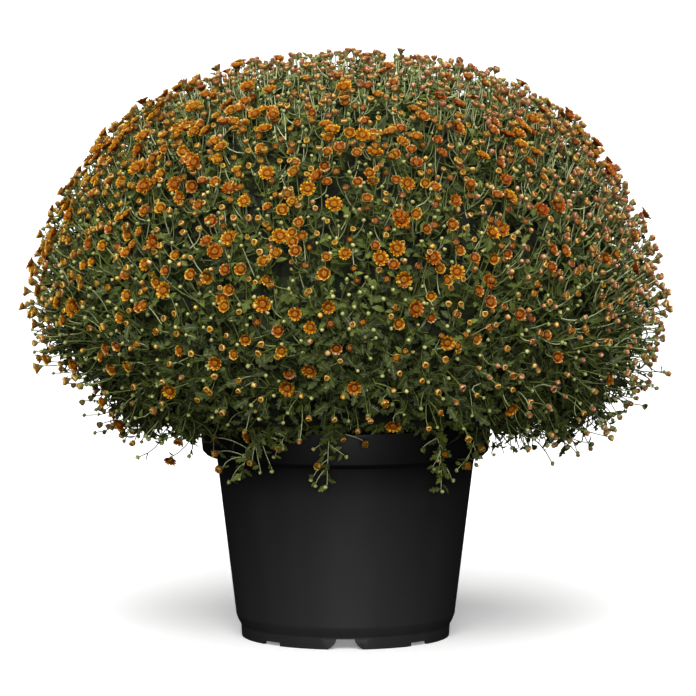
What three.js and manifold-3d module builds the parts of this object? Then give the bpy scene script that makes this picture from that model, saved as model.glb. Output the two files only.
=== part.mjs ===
// Pot chrysanthemum: a garden mum grown into one wide dome of button flowers in a black nursery pot.
// Millimetres, +Z up. The origin is the centre of the pot's foot, on the surface the pot stands on.

import * as THREE from 'three';
import { mergeVertices } from 'three/addons/utils/BufferGeometryUtils.js';
import Module from 'manifold-3d';

const wasm = await Module();
wasm.setup();

// ---------------------------------------------------------------- driving dimensions

const CLEARANCE = 0.3; // between pieces that touch

// Pot: a twelve-inch nursery pot
const RIM_RADIUS = 152.5;
const POT_HEIGHT = 228;
const WALL = 2.2;
const COLLAR_FOOT_RADIUS = 149.5;
const COLLAR_FOOT_Z = 199;
const SHOULDER_RADIUS = 135;
const SHOULDER_Z = 191;
const BODY_FOOT_RADIUS = 114;
const BODY_FOOT_Z = 21;
const FOOT_RING_RADIUS = 109.5;
const FOOT_RING_TAPER = 0.8;
const FOOT_RING_TOP_Z = 15;
const FOOT_RING_WIDTH = 5;
const FLOOR_Z = 12;
const POT_SIDES = 32;

// Drain notches in the foot ring
const NOTCH_WIDTH = 50;
const NOTCH_HEIGHT = 11;
const NOTCH_DEPTH = 2.4;
const OUTLET_TOP_WIDTH = 19;
const OUTLET_FOOT_WIDTH = 37;
const SLOT_WIDTH = 24;
const SLOT_HEIGHT = 3.8;

// Growing mix
const SOIL_Z = 206;
const SOIL_MOUND = 5;
const SOIL_SIDES = POT_SIDES / 2;

// Dome of flowers: two half ellipses on one widest ring
const DOME_RADIUS = 336;
const DOME_CENTRE_Z = 353;
const DOME_RISE = 258;
const DOME_DROP = 209;
const SKIRT_ANGLE = THREE.MathUtils.degToRad(136);
const SHADE_ANGLE = THREE.MathUtils.degToRad(86); // where the flowers start to thin out
const SHADE_LOSS = 0.45; // the share of flowers that the skirt lacks

// Leafy branches: sectors of the bush, each on its own stem
const BRANCH_COUNT = 10;
const BUSH_SCALE = 0.83;
const BUSH_ROUGHNESS = 0.035;
const BUSH_ROWS = 7;
const BUSH_COLUMNS = 3;
const BUSH_TOP_ANGLE = THREE.MathUtils.degToRad(6);
const BUSH_HOLLOW_RADIUS = 8;
const BUSH_FOOT_Z = POT_HEIGHT + 4;
const BUSH_FOOT_ANGLE = Math.acos((BUSH_FOOT_Z - DOME_CENTRE_Z) / (DOME_DROP * BUSH_SCALE));
const STEM_RADIUS = 5.5;
const STEM_RING_RADIUS = 62;
const STEM_DEPTH = 45;
const STEM_TOP_Z = POT_HEIGHT + 20;
const STEM_SIDES = 6;
const TUFT_HEIGHT = 14;

// Leaves
const LEAF_COUNT = 112;
const LEAF_LENGTH = 58;
const LEAF_THICKNESS = 2;
const PETIOLE_WIDTH = 3;
const PETIOLE_LENGTH = 12;
const LEAF_LEAN = [25, 60]; // degrees away from straight out
const HANGING_LEAVES = 2;
const HANGING_RADIUS = 160;
const HANGING_LEAN = [15, 60];

// Flower sprays
const SPRAY_COUNT = 42;
const SPRAY_TURN = 0.4; // radians, so that no spray stands straight under a head's site
const HEAD_COUNT = 264;
const HEAD_SCALES = [0.955, 0.975]; // of the dome, so that the petals reach its surface
const STALK_RADIUS = 1.5;
const SHOOT_RADIUS = 5;
const SHOOT_TRIES = 30;

// Sprigs that trail over the collar, by their turn from the front in degrees
const TRAIL_TURNS = [-50, -27, -3, 26, 49];
const TRAIL_SHOOT_RADIUS = 172;
const TRAIL_HEADS = 3;
const TRAIL_FAN = 14;
const TRAIL_HEAD_RADII = [173, 182];
const TRAIL_DROPS = [24, 46];
const TRAIL_DROP_SPREAD = 4;
const TRAIL_DIP = 0.6; // how far its heads look down

const SEED = 13;

// ---------------------------------------------------------------- seeded random numbers

let randomState = SEED;

function random() {
  randomState = (randomState + 0x6d2b79f5) | 0;
  let mixed = Math.imul(randomState ^ (randomState >>> 15), 1 | randomState);
  mixed = (mixed + Math.imul(mixed ^ (mixed >>> 7), 61 | mixed)) ^ mixed;
  return ((mixed ^ (mixed >>> 14)) >>> 0) / 4294967296;
}

function between(low, high) {
  return low + (high - low) * random();
}

// ---------------------------------------------------------------- closed meshes and joins

function meshGeometry(points, triangles) {
  const geometry = new THREE.BufferGeometry();
  const coordinates = points.flatMap((point) => [point.x, point.y, point.z]);
  geometry.setAttribute('position', new THREE.Float32BufferAttribute(coordinates, 3));
  geometry.setIndex(triangles.flat());
  return geometry;
}

// Triangles between two rings of any counts, given as lists of point numbers; a list of one is a tip
function stitch(lower, upper) {
  const triangles = [];
  const lowSteps = lower.length > 1 ? lower.length : 0;
  const highSteps = upper.length > 1 ? upper.length : 0;
  let low = 0;
  let high = 0;
  while (low < lowSteps || high < highSteps) {
    const lowPoint = lower[low % lower.length];
    const highPoint = upper[high % upper.length];
    const lowNext = lowSteps ? (low + 1) / lowSteps : Infinity;
    const highNext = highSteps ? (high + 1) / highSteps : Infinity;
    if (lowNext <= highNext) {
      triangles.push([lowPoint, lower[(low + 1) % lower.length], highPoint]);
      low++;
    } else {
      triangles.push([lowPoint, upper[(high + 1) % upper.length], highPoint]);
      high++;
    }
  }
  return triangles;
}

// The triangles of a closed skin over rings of points, from a first cap to a last one
function loftTriangles(rings) {
  const triangles = [];
  let first = 0;
  const numbered = rings.map((ring) => ring.map(() => first++));
  for (let ring = 0; ring + 1 < rings.length; ring++) {
    triangles.push(...stitch(numbered[ring], numbered[ring + 1]));
  }
  const start = numbered[0];
  const end = numbered[numbered.length - 1];
  for (let corner = 1; corner + 1 < start.length; corner++) {
    triangles.push([start[0], start[corner + 1], start[corner]]);
  }
  for (let corner = 1; corner + 1 < end.length; corner++) {
    triangles.push([end[0], end[corner], end[corner + 1]]);
  }
  return triangles;
}

function toSolid(geometry) {
  const bare = geometry.clone();
  bare.deleteAttribute('normal');
  bare.deleteAttribute('uv');
  const merged = mergeVertices(bare, 1e-4);
  const corners = merged.index.array;
  const kept = [];
  for (let corner = 0; corner < corners.length; corner += 3) {
    const [a, b, c] = corners.subarray(corner, corner + 3);
    if (a !== b && b !== c && c !== a) {
      kept.push(a, b, c);
    }
  }
  const vertProperties = new Float32Array(merged.attributes.position.array);
  const triVerts = new Uint32Array(kept);
  return new wasm.Manifold(new wasm.Mesh({ numProp: 3, vertProperties, triVerts }));
}

function toGeometry(solid) {
  const mesh = solid.getMesh();
  const geometry = new THREE.BufferGeometry();
  geometry.setAttribute('position', new THREE.BufferAttribute(mesh.vertProperties, 3));
  geometry.setIndex(new THREE.BufferAttribute(mesh.triVerts, 1));
  return geometry;
}

function joined(geometries) {
  return toGeometry(geometries.map(toSolid).reduce((whole, piece) => whole.add(piece)));
}

function without(geometry, cutters) {
  const solid = cutters.map(toSolid).reduce((whole, cutter) => whole.subtract(cutter), toSolid(geometry));
  return toGeometry(solid);
}

// A turned solid from [radius, height] pairs that start and end on the axis
function turned(profile, sides) {
  const points = profile.map(([radius, height]) => new THREE.Vector2(radius, height));
  return new THREE.LatheGeometry(points, sides).rotateX(Math.PI / 2);
}

// ---------------------------------------------------------------- the dome's shape

// A point of the dome, shrunk by scale about the centre of its widest ring.
// The angle runs from the top, 0, past the widest ring, a quarter turn, to the skirt.
function domePoint(angle, azimuth, scale = 1) {
  const height = Math.cos(angle) > 0 ? DOME_RISE : DOME_DROP;
  const radius = DOME_RADIUS * Math.sin(angle) * scale;
  return new THREE.Vector3(
    radius * Math.cos(azimuth),
    radius * Math.sin(azimuth),
    DOME_CENTRE_Z + height * Math.cos(angle) * scale,
  );
}

// The scale of the dome that passes through a point
function domeScale(point) {
  const rise = point.z - DOME_CENTRE_Z;
  return Math.hypot(point.x / DOME_RADIUS, point.y / DOME_RADIUS, rise / (rise > 0 ? DOME_RISE : DOME_DROP));
}

function domeNormal(angle, azimuth) {
  const height = Math.cos(angle) > 0 ? DOME_RISE : DOME_DROP;
  const flat = Math.sin(angle) / DOME_RADIUS;
  return new THREE.Vector3(
    flat * Math.cos(azimuth),
    flat * Math.sin(azimuth),
    Math.cos(angle) / height,
  ).normalize();
}

// Flowers stand thinner on the shaded skirt than on top
function flowerDensity(angle) {
  return 1 - SHADE_LOSS * THREE.MathUtils.smoothstep(angle, SHADE_ANGLE, SKIRT_ANGLE);
}

// Evenly spread sites over the dome: equal shares of area in angle, the golden angle in azimuth
function domeSites(count, turn, density) {
  const steps = 400;
  const shares = [0];
  for (let step = 0; step < steps; step++) {
    const angle = ((step + 0.5) / steps) * SKIRT_ANGLE;
    const height = Math.cos(angle) > 0 ? DOME_RISE : DOME_DROP;
    const slope = Math.hypot(DOME_RADIUS * Math.cos(angle), height * Math.sin(angle));
    shares.push(shares[step] + slope * Math.sin(angle) * density(angle));
  }
  const goldenAngle = Math.PI * (3 - Math.sqrt(5));
  const sites = [];
  let step = 0;
  for (let index = 0; index < count; index++) {
    const share = ((index + 0.5) / count) * shares[steps];
    while (shares[step + 1] < share) {
      step++;
    }
    const part = (share - shares[step]) / (shares[step + 1] - shares[step]);
    sites.push({ angle: ((step + part) / steps) * SKIRT_ANGLE, azimuth: index * goldenAngle + turn });
  }
  return sites;
}

// ---------------------------------------------------------------- pot

// A tapered pot with a rolled collar, a floor above its foot ring, and drains cut in the ring
function potGeometry() {
  const innerRing = FOOT_RING_RADIUS - FOOT_RING_WIDTH;
  const shell = turned([
    [0, FLOOR_Z],
    [innerRing, FLOOR_Z],
    [innerRing, 0],
    [FOOT_RING_RADIUS - FOOT_RING_TAPER, 0],
    [FOOT_RING_RADIUS, FOOT_RING_TOP_Z],
    [BODY_FOOT_RADIUS, BODY_FOOT_Z],
    [SHOULDER_RADIUS, SHOULDER_Z],
    [COLLAR_FOOT_RADIUS, COLLAR_FOOT_Z],
    [RIM_RADIUS, POT_HEIGHT - WALL],
    [RIM_RADIUS - WALL / 2, POT_HEIGHT],
    [RIM_RADIUS - WALL, POT_HEIGHT - WALL],
    [COLLAR_FOOT_RADIUS - WALL, COLLAR_FOOT_Z + WALL],
    [SHOULDER_RADIUS - WALL, SHOULDER_Z + WALL],
    [BODY_FOOT_RADIUS - WALL, BODY_FOOT_Z],
    [FOOT_RING_RADIUS - WALL, FLOOR_Z + WALL],
    [0, FLOOR_Z + WALL],
  ], POT_SIDES);
  const cutters = [];
  for (const turn of [-Math.PI / 2, Math.PI / 2]) {
    cutters.push(notchCutter(turn), outletCutter(turn));
  }
  for (let quarter = 0; quarter < 4; quarter++) {
    cutters.push(slotCutter(Math.PI / 4 + (quarter * Math.PI) / 2));
  }
  return without(shell, cutters);
}

// The shallow notch moulded in the outside of the foot ring
function notchCutter(turn) {
  const depth = 4 * FOOT_RING_WIDTH;
  const cutter = new THREE.BoxGeometry(depth, NOTCH_WIDTH, 2 * NOTCH_HEIGHT);
  return cutter.translate(FOOT_RING_RADIUS - NOTCH_DEPTH + depth / 2, 0, 0).rotateZ(turn);
}

// The outlet behind the notch, with sides that flare down in an arc
function outletCutter(turn) {
  const outline = new THREE.Shape();
  const foot = OUTLET_FOOT_WIDTH / 2;
  const top = OUTLET_TOP_WIDTH / 2;
  const bendWidth = top + (foot - top) * 0.3;
  const bendHeight = NOTCH_HEIGHT * 0.2;
  outline.moveTo(-foot, -NOTCH_HEIGHT);
  outline.lineTo(foot, -NOTCH_HEIGHT);
  outline.lineTo(foot, 0);
  outline.quadraticCurveTo(bendWidth, bendHeight, top, NOTCH_HEIGHT);
  outline.lineTo(-top, NOTCH_HEIGHT);
  outline.quadraticCurveTo(-bendWidth, bendHeight, -foot, 0);
  const depth = 4 * FOOT_RING_WIDTH;
  const cutter = new THREE.ExtrudeGeometry(outline, { depth, bevelEnabled: false, curveSegments: 3 });
  cutter.rotateX(Math.PI / 2).rotateZ(Math.PI / 2);
  return cutter.translate(FOOT_RING_RADIUS - depth / 2, 0, 0).rotateZ(turn);
}

// A low slot between the outlets, right through the foot ring
function slotCutter(turn) {
  const depth = 4 * FOOT_RING_WIDTH;
  const cutter = new THREE.BoxGeometry(depth, SLOT_WIDTH, 2 * SLOT_HEIGHT);
  return cutter.translate(FOOT_RING_RADIUS, 0, 0).rotateZ(turn);
}

// ---------------------------------------------------------------- growing mix

function stemPlace(branch) {
  const turn = ((branch + 0.5) * 2 * Math.PI) / BRANCH_COUNT;
  return new THREE.Vector3(STEM_RING_RADIUS * Math.cos(turn), STEM_RING_RADIUS * Math.sin(turn), 0);
}

function stemGeometry(branch, radius, foot, top) {
  const stem = new THREE.CylinderGeometry(radius, radius, top - foot, STEM_SIDES);
  const place = stemPlace(branch);
  return stem.rotateX(Math.PI / 2).translate(place.x, place.y, (top + foot) / 2);
}

function soilGeometry() {
  const gap = WALL + 2 * CLEARANCE;
  const plug = turned([
    [0, FLOOR_Z + gap],
    [FOOT_RING_RADIUS - gap, FLOOR_Z + gap],
    [BODY_FOOT_RADIUS - gap, BODY_FOOT_Z + CLEARANCE],
    [SHOULDER_RADIUS - gap, SHOULDER_Z + WALL],
    [COLLAR_FOOT_RADIUS - gap, COLLAR_FOOT_Z + gap],
    [COLLAR_FOOT_RADIUS - gap, SOIL_Z],
    [STEM_RING_RADIUS, SOIL_Z + SOIL_MOUND * 0.8],
    [0, SOIL_Z + SOIL_MOUND],
  ], SOIL_SIDES);
  const holes = [];
  for (let branch = 0; branch < BRANCH_COUNT; branch++) {
    const foot = SOIL_Z - STEM_DEPTH - CLEARANCE;
    holes.push(stemGeometry(branch, STEM_RADIUS + 2 * CLEARANCE, foot, POT_HEIGHT));
  }
  return without(plug, holes);
}

// ---------------------------------------------------------------- the bush inside each branch

// How far each corner of the bush stands in or out, shared where two sectors meet
const roughness = Array.from({ length: BRANCH_COUNT * BUSH_COLUMNS }, () => (
  Array.from({ length: BUSH_ROWS }, () => 1 + between(-BUSH_ROUGHNESS, BUSH_ROUGHNESS)).concat(1)
));

// One sector of the bush: a rough, leaf-packed mass over a flat underside just above the rim
function bushSector(branch) {
  const share = (2 * Math.PI) / BRANCH_COUNT;
  const rings = [];
  for (let column = 0; column <= BUSH_COLUMNS; column++) {
    const ring = [];
    for (let row = 0; row <= BUSH_ROWS; row++) {
      const angle = BUSH_TOP_ANGLE + ((BUSH_FOOT_ANGLE - BUSH_TOP_ANGLE) * row) / BUSH_ROWS;
      const rough = roughness[(branch * BUSH_COLUMNS + column) % roughness.length][row];
      ring.push(domePoint(angle, 0, BUSH_SCALE * rough));
    }
    ring.push(new THREE.Vector3(BUSH_HOLLOW_RADIUS, 0, ring[BUSH_ROWS].z));
    ring.push(new THREE.Vector3(BUSH_HOLLOW_RADIUS, 0, ring[0].z));
    // Side faces stay flat and half a clearance inside the sector
    const inset = column === 0 ? CLEARANCE : column === BUSH_COLUMNS ? -CLEARANCE : 0;
    const azimuth = share * (branch + column / BUSH_COLUMNS);
    for (const point of ring) {
      point.y += inset;
      point.applyAxisAngle(new THREE.Vector3(0, 0, 1), azimuth);
    }
    rings.push(ring);
  }
  return rings;
}

// How far a facet's midpoint lies from its nearest side
function facetRoom(facet) {
  const centre = facet.getMidpoint(new THREE.Vector3());
  const closest = new THREE.Vector3();
  const sides = [[facet.a, facet.b], [facet.b, facet.c], [facet.c, facet.a]];
  return Math.min(...sides.map(([start, end]) => (
    new THREE.Line3(start, end).closestPointToPoint(centre, true, closest).distanceTo(centre)
  )));
}

// The outward facets of a sector, as places for tufts, shoots and leaves
function bushFacets(branch, rings) {
  const facets = [];
  const ringSize = rings[0].length;
  const points = rings.flat();
  for (let column = 0; column < BUSH_COLUMNS; column++) {
    for (let row = 0; row < BUSH_ROWS; row++) {
      const near = column * ringSize + row;
      const far = near + ringSize;
      for (const corners of [[near, near + 1, far], [near + 1, far + 1, far]]) {
        const facet = new THREE.Triangle(...corners.map((corner) => points[corner]));
        const normal = facet.getNormal(new THREE.Vector3());
        const centre = facet.getMidpoint(new THREE.Vector3());
        facets.push({ branch, corners, facet, normal, centre, room: facetRoom(facet) });
      }
    }
  }
  return facets;
}

const bushes = [];
const facets = [];
for (let branch = 0; branch < BRANCH_COUNT; branch++) {
  const rings = bushSector(branch);
  bushes.push(rings);
  facets.push(...bushFacets(branch, rings));
}

// ---------------------------------------------------------------- flower sprays

// Petal rings of each kind of head, from the stalk up:
// [tip radius, valley radius, tip height, valley height].
// An open bloom has an outer and an inner layer of petals round its eye, a half-open one a single cup.
const HEADS = {
  open: { petals: 6, layers: [[14, 9, 7, 5], [7.5, 6.5, 11, 8]], eye: 8 },
  cup: { petals: 5, layers: [[11, 8, 12, 7]], eye: 6.5 },
  bud: { petals: 5, layers: [[5.2, 5.2, 4.5, 4.5]], eye: 10 },
};
const OPEN_SHARE = 0.24;
const BUD_SHARE = 0.22;

function headKind() {
  const draw = random();
  if (draw < OPEN_SHARE) {
    return HEADS.open;
  }
  return draw < OPEN_SHARE + BUD_SHARE ? HEADS.bud : HEADS.cup;
}

function middleOf(points) {
  return points.reduce((sum, point) => sum.add(point), new THREE.Vector3()).divideScalar(points.length);
}

// Two directions square to a given one and to each other
function crossAxes(direction) {
  const helper = Math.abs(direction.z) < 0.9 ? new THREE.Vector3(0, 0, 1) : new THREE.Vector3(1, 0, 0);
  const across = helper.clone().cross(direction).normalize();
  return [across, direction.clone().cross(across)];
}

// One layer of petals: tips and valleys by turns, or a plain ring where both are alike
function petalRing(base, facing, petals, layer, turn) {
  const [tip, valley, tipHeight, valleyHeight] = layer;
  const [across, along] = crossAxes(facing);
  const plain = tip === valley;
  const count = plain ? petals : 2 * petals;
  const ring = [];
  for (let index = 0; index < count; index++) {
    const isTip = plain || index % 2 === 0;
    const angle = turn + (index * 2 * Math.PI) / count;
    const radius = isTip ? tip : valley;
    ring.push(base.clone()
      .addScaledVector(across, radius * Math.cos(angle))
      .addScaledVector(along, radius * Math.sin(angle))
      .addScaledVector(facing, isTip ? tipHeight : valleyHeight));
  }
  return ring;
}

// The rings of a head on its stalk, from the stalk's slim upper end to the eye of the flower
function flowerRings(rootFace, head, root) {
  const stalk = head.place.clone().sub(root).normalize();
  const facing = stalk.add(head.normal).normalize();
  const [across, along] = crossAxes(facing);
  const first = rootFace[0].clone().sub(middleOf(rootFace));
  const lead = Math.atan2(first.dot(along), first.dot(across));
  const { petals, layers, eye } = head.kind;
  const slim = [0, 1, 2].map((corner) => {
    const angle = lead + (corner * 2 * Math.PI) / 3;
    return head.place.clone()
      .addScaledVector(across, STALK_RADIUS * Math.cos(angle))
      .addScaledVector(along, STALK_RADIUS * Math.sin(angle));
  });
  const rings = [slim];
  layers.forEach((layer, index) => {
    rings.push(petalRing(head.place, facing, petals, layer, lead + (index * Math.PI) / petals));
  });
  rings.push([head.place.clone().addScaledVector(facing, eye)]);
  return rings;
}

// About the middle of a spray, where its stalks part: the swollen tip of a shoot, standing on the bush
function shootCentre(spray) {
  return spray.place.clone().addScaledVector(spray.normal, SHOOT_RADIUS);
}

// Its corners and faces, at one turn, with its lowest corner on the bush, before the stalks grow from them
function shootBall(spray, turn) {
  const ball = new THREE.IcosahedronGeometry(SHOOT_RADIUS).applyQuaternion(turn);
  ball.deleteAttribute('normal');
  ball.deleteAttribute('uv');
  const merged = mergeVertices(ball, 1e-4);
  const points = Array.from({ length: merged.attributes.position.count }, (_, index) => (
    new THREE.Vector3().fromBufferAttribute(merged.attributes.position, index)
  ));
  const foot = Math.max(...points.map((point) => -point.dot(spray.normal)));
  const centre = spray.place.clone().addScaledVector(spray.normal, foot);
  points.forEach((point) => point.add(centre));
  const faces = [];
  for (let corner = 0; corner < merged.index.count; corner += 3) {
    faces.push([0, 1, 2].map((step) => merged.index.getX(corner + step)));
  }
  return { points, faces, centre };
}

// How nearly a face of the shoot looks towards a head
function faceMatch(ball, face, head) {
  const middle = middleOf(face.map((corner) => ball.points[corner]));
  return middle.sub(ball.centre).normalize().dot(head.place.clone().sub(ball.centre).normalize());
}

// Faces dealt to the heads in order, then swapped in pairs until no swap looks more directly at its heads,
// so that no two stalks cross. The faces past the last head stay bare.
function facesForHeads(ball, heads) {
  const dealt = [...ball.faces];
  const match = (slot, face) => (slot < heads.length ? faceMatch(ball, face, heads[slot]) : 0);
  for (let better = true; better;) {
    better = false;
    for (let one = 0; one < heads.length; one++) {
      for (let other = one + 1; other < dealt.length; other++) {
        const now = match(one, dealt[one]) + match(other, dealt[other]);
        const swapped = match(one, dealt[other]) + match(other, dealt[one]);
        if (swapped > now + 1e-9) {
          [dealt[one], dealt[other]] = [dealt[other], dealt[one]];
          better = true;
        }
      }
    }
  }
  return dealt;
}

// The turn of a spray's shoot that leaves the worst placed stalk looking most directly at its head
function bestShoot(spray) {
  let best = { worst: -Infinity };
  for (let attempt = 0; attempt < SHOOT_TRIES; attempt++) {
    const lift = new THREE.Euler(between(0, Math.PI), between(0, Math.PI), between(0, Math.PI));
    const ball = shootBall(spray, new THREE.Quaternion().setFromEuler(lift));
    const faces = facesForHeads(ball, spray.heads);
    const worst = Math.min(...spray.heads.map((head, index) => faceMatch(ball, faces[index], head)));
    if (worst > best.worst) {
      best = { worst, ball, faces };
    }
  }
  return best;
}

// Sprays over the dome, each on the free facet nearest to an evenly spread site
const sprays = [];
const taken = new Set();
for (const site of domeSites(SPRAY_COUNT, SPRAY_TURN, () => 1)) {
  const target = domePoint(site.angle, site.azimuth, BUSH_SCALE);
  const nearest = facets
    .filter((facet) => !taken.has(facet) && facet.room > SHOOT_RADIUS)
    .reduce((best, facet) => (
      facet.centre.distanceTo(target) < best.centre.distanceTo(target) ? facet : best
    ));
  taken.add(nearest);
  const place = nearest.centre.clone().addScaledVector(nearest.normal, CLEARANCE);
  sprays.push({ place, normal: nearest.normal, heads: [] });
}

// Whether a stalk from a spray's shoot passes outside the bush on its way to a head
function stalkIsClear(spray, place) {
  const centre = shootCentre(spray);
  return [0.25, 0.4, 0.55, 0.7, 0.85].every((part) => {
    const point = centre.clone().lerp(place, part);
    return domeScale(point) > BUSH_SCALE || point.z < BUSH_FOOT_Z - SHOOT_RADIUS;
  });
}

// Heads over the dome, each on the nearest spray that its stalk can reach
for (const site of domeSites(HEAD_COUNT, 0, flowerDensity)) {
  const kind = headKind();
  const place = domePoint(site.angle, site.azimuth, between(...HEAD_SCALES));
  const normal = domeNormal(site.angle, site.azimuth);
  const reach = (spray) => spray.place.distanceTo(place) + (stalkIsClear(spray, place) ? 0 : DOME_RADIUS);
  const nearest = sprays.reduce((best, spray) => (reach(spray) < reach(best) ? spray : best));
  nearest.heads.push({ place, normal, kind });
}

// Trailing sprays: their shoots hang from the bush's underside and their heads lie along the collar
const trails = TRAIL_TURNS.map((turn) => {
  const azimuth = THREE.MathUtils.degToRad(turn - 90);
  const place = new THREE.Vector3().setFromCylindricalCoords(TRAIL_SHOOT_RADIUS, azimuth, 0);
  place.set(place.z, place.x, BUSH_FOOT_Z - CLEARANCE);
  const heads = [];
  for (let index = 0; index < TRAIL_HEADS; index++) {
    const fan = THREE.MathUtils.degToRad(TRAIL_FAN) * (index / (TRAIL_HEADS - 1) - 0.5);
    const hang = azimuth + fan;
    const radius = between(...TRAIL_HEAD_RADII);
    const kind = index % 2 === 0 ? HEADS.cup : HEADS.bud;
    const drop = TRAIL_DROPS[index % 2] + between(-TRAIL_DROP_SPREAD, TRAIL_DROP_SPREAD);
    heads.push({
      place: new THREE.Vector3(radius * Math.cos(hang), radius * Math.sin(hang), place.z - drop),
      normal: new THREE.Vector3(Math.cos(hang), Math.sin(hang), -TRAIL_DIP).normalize(),
      kind,
    });
  }
  return { place, normal: new THREE.Vector3(0, 0, -1), heads };
});

// A spray as one closed skin: the shoot's faces, some of them drawn out into stalks with heads
function sprayGeometry(spray) {
  const { ball, faces } = bestShoot(spray);
  const points = [...ball.points];
  const triangles = faces.slice(spray.heads.length);
  spray.heads.forEach((head, index) => {
    let lower = faces[index];
    for (const ring of flowerRings(lower.map((corner) => ball.points[corner]), head, ball.centre)) {
      const upper = ring.map((point) => points.push(point) - 1);
      triangles.push(...stitch(lower, upper));
      lower = upper;
    }
  });
  return meshGeometry(points, triangles);
}

// ---------------------------------------------------------------- leaves

// Half a chrysanthemum leaf's lobed outline: [distance from the stalk, distance from the midrib]
const LEAF_HALF = [
  [0, 0.035],
  [0.2, 0.25],
  [0.36, 0.15],
  [0.6, 0.33],
  [0.68, 0.15],
];
const LEAF_RIB = 0.45;
const LEAF_ARCH = 0.14;

// A leaf grown from a root: along its midrib, across its blade and out of its upper face
function leafPoint(leaf, length, width, lift) {
  const arch = -LEAF_ARCH * leaf.length * (length / leaf.length) ** 2;
  return leaf.root.clone()
    .addScaledVector(leaf.direction, length)
    .addScaledVector(leaf.side, width)
    .addScaledVector(leaf.face, lift + arch);
}

function leafGeometry(leaf) {
  const half = LEAF_THICKNESS / 2;
  const points = [
    leafPoint(leaf, leaf.length * LEAF_RIB, 0, half),
    leafPoint(leaf, leaf.length * LEAF_RIB, 0, -half),
    leafPoint(leaf, -PETIOLE_LENGTH, -PETIOLE_WIDTH / 2, half),
    leafPoint(leaf, -PETIOLE_LENGTH, -PETIOLE_WIDTH / 2, -half),
    leafPoint(leaf, -PETIOLE_LENGTH, PETIOLE_WIDTH / 2, half),
    leafPoint(leaf, -PETIOLE_LENGTH, PETIOLE_WIDTH / 2, -half),
  ];
  const [ribTop, ribUnder, leftTop, leftUnder, rightTop, rightUnder] = points.keys();
  const outline = [
    ...LEAF_HALF.map(([length, width]) => leafPoint(leaf, length * leaf.length, -width * leaf.length, 0)),
    leafPoint(leaf, leaf.length, 0, 0),
    ...LEAF_HALF.toReversed().map(([length, width]) => (
      leafPoint(leaf, length * leaf.length, width * leaf.length, 0)
    )),
  ];
  const first = points.length;
  const last = first + outline.length - 1;
  const triangles = [
    [ribTop, leftTop, first],
    [ribTop, last, rightTop],
    [ribTop, rightTop, leftTop],
    [ribUnder, first, leftUnder],
    [ribUnder, rightUnder, last],
    [ribUnder, leftUnder, rightUnder],
    [leftTop, leftUnder, first],
    [rightTop, last, rightUnder],
    [leftTop, rightTop, rightUnder],
    [leftTop, rightUnder, leftUnder],
  ];
  for (let corner = first; corner < last; corner++) {
    triangles.push([ribTop, corner, corner + 1], [ribUnder, corner + 1, corner]);
  }
  return meshGeometry([...points, ...outline], triangles);
}

// Points spread over a leaf's blade and lobes, for keeping it clear of what grows beside it
function leafSamples(leaf) {
  const samples = LEAF_HALF.flatMap(([length, width]) => [
    leafPoint(leaf, length * leaf.length, width * leaf.length, 0),
    leafPoint(leaf, length * leaf.length, -width * leaf.length, 0),
  ]);
  for (let length = -0.1; length <= 1; length += 0.1) {
    const reach = 0.32 * Math.min(1, 3 * (1 - length), 3 * length + 0.5);
    for (const width of [-1, -0.67, -0.33, 0, 0.33, 0.67, 1]) {
      samples.push(leafPoint(leaf, length * leaf.length, width * reach * leaf.length, 0));
    }
  }
  return samples;
}

const allSprays = [...sprays, ...trails];
const allHeads = allSprays.flatMap((spray) => spray.heads);
const stalks = allSprays.flatMap((spray) => (
  spray.heads.map((head) => new THREE.Line3(shootCentre(spray), head.place))
));

function nearestDistance(point, lines) {
  const closest = new THREE.Vector3();
  return Math.min(...lines.map((line) => line.closestPointToPoint(point, true, closest).distanceTo(point)));
}

const STALK_CLEARANCE = STALK_RADIUS + LEAF_THICKNESS + 2;
const SHOOT_CLEARANCE = SHOOT_RADIUS + LEAF_THICKNESS;
const HEAD_CLEARANCE = 16;
const SECTOR_CLEARANCE = 2.5 * LEAF_THICKNESS;
const POT_CLEARANCE = 3;

// Whether a leaf keeps inside its branch's sector, off the pot and clear of every spray
function leafIsClear(leaf) {
  const share = (2 * Math.PI) / BRANCH_COUNT;
  return leafSamples(leaf).every((point) => {
    const radius = Math.hypot(point.x, point.y);
    const azimuth = Math.atan2(point.y, point.x) - share * leaf.branch;
    const turn = THREE.MathUtils.euclideanModulo(azimuth, 2 * Math.PI);
    const room = radius * Math.sin(Math.min(turn, share - turn));
    const inSector = turn < share && room > SECTOR_CLEARANCE;
    const offPot = radius > RIM_RADIUS + POT_CLEARANCE || point.z > POT_HEIGHT + POT_CLEARANCE;
    return inSector
      && offPot
      && nearestDistance(point, stalks) > STALK_CLEARANCE
      && allSprays.every((spray) => shootCentre(spray).distanceTo(point) > SHOOT_CLEARANCE)
      && allHeads.every((head) => head.place.distanceTo(point) > HEAD_CLEARANCE);
  });
}

function leavesCross(leaf, other) {
  const otherSamples = leafSamples(other);
  return leafSamples(leaf).some((point) => (
    otherSamples.some((sample) => sample.distanceTo(point) < 2 * LEAF_THICKNESS)
  ));
}

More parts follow.
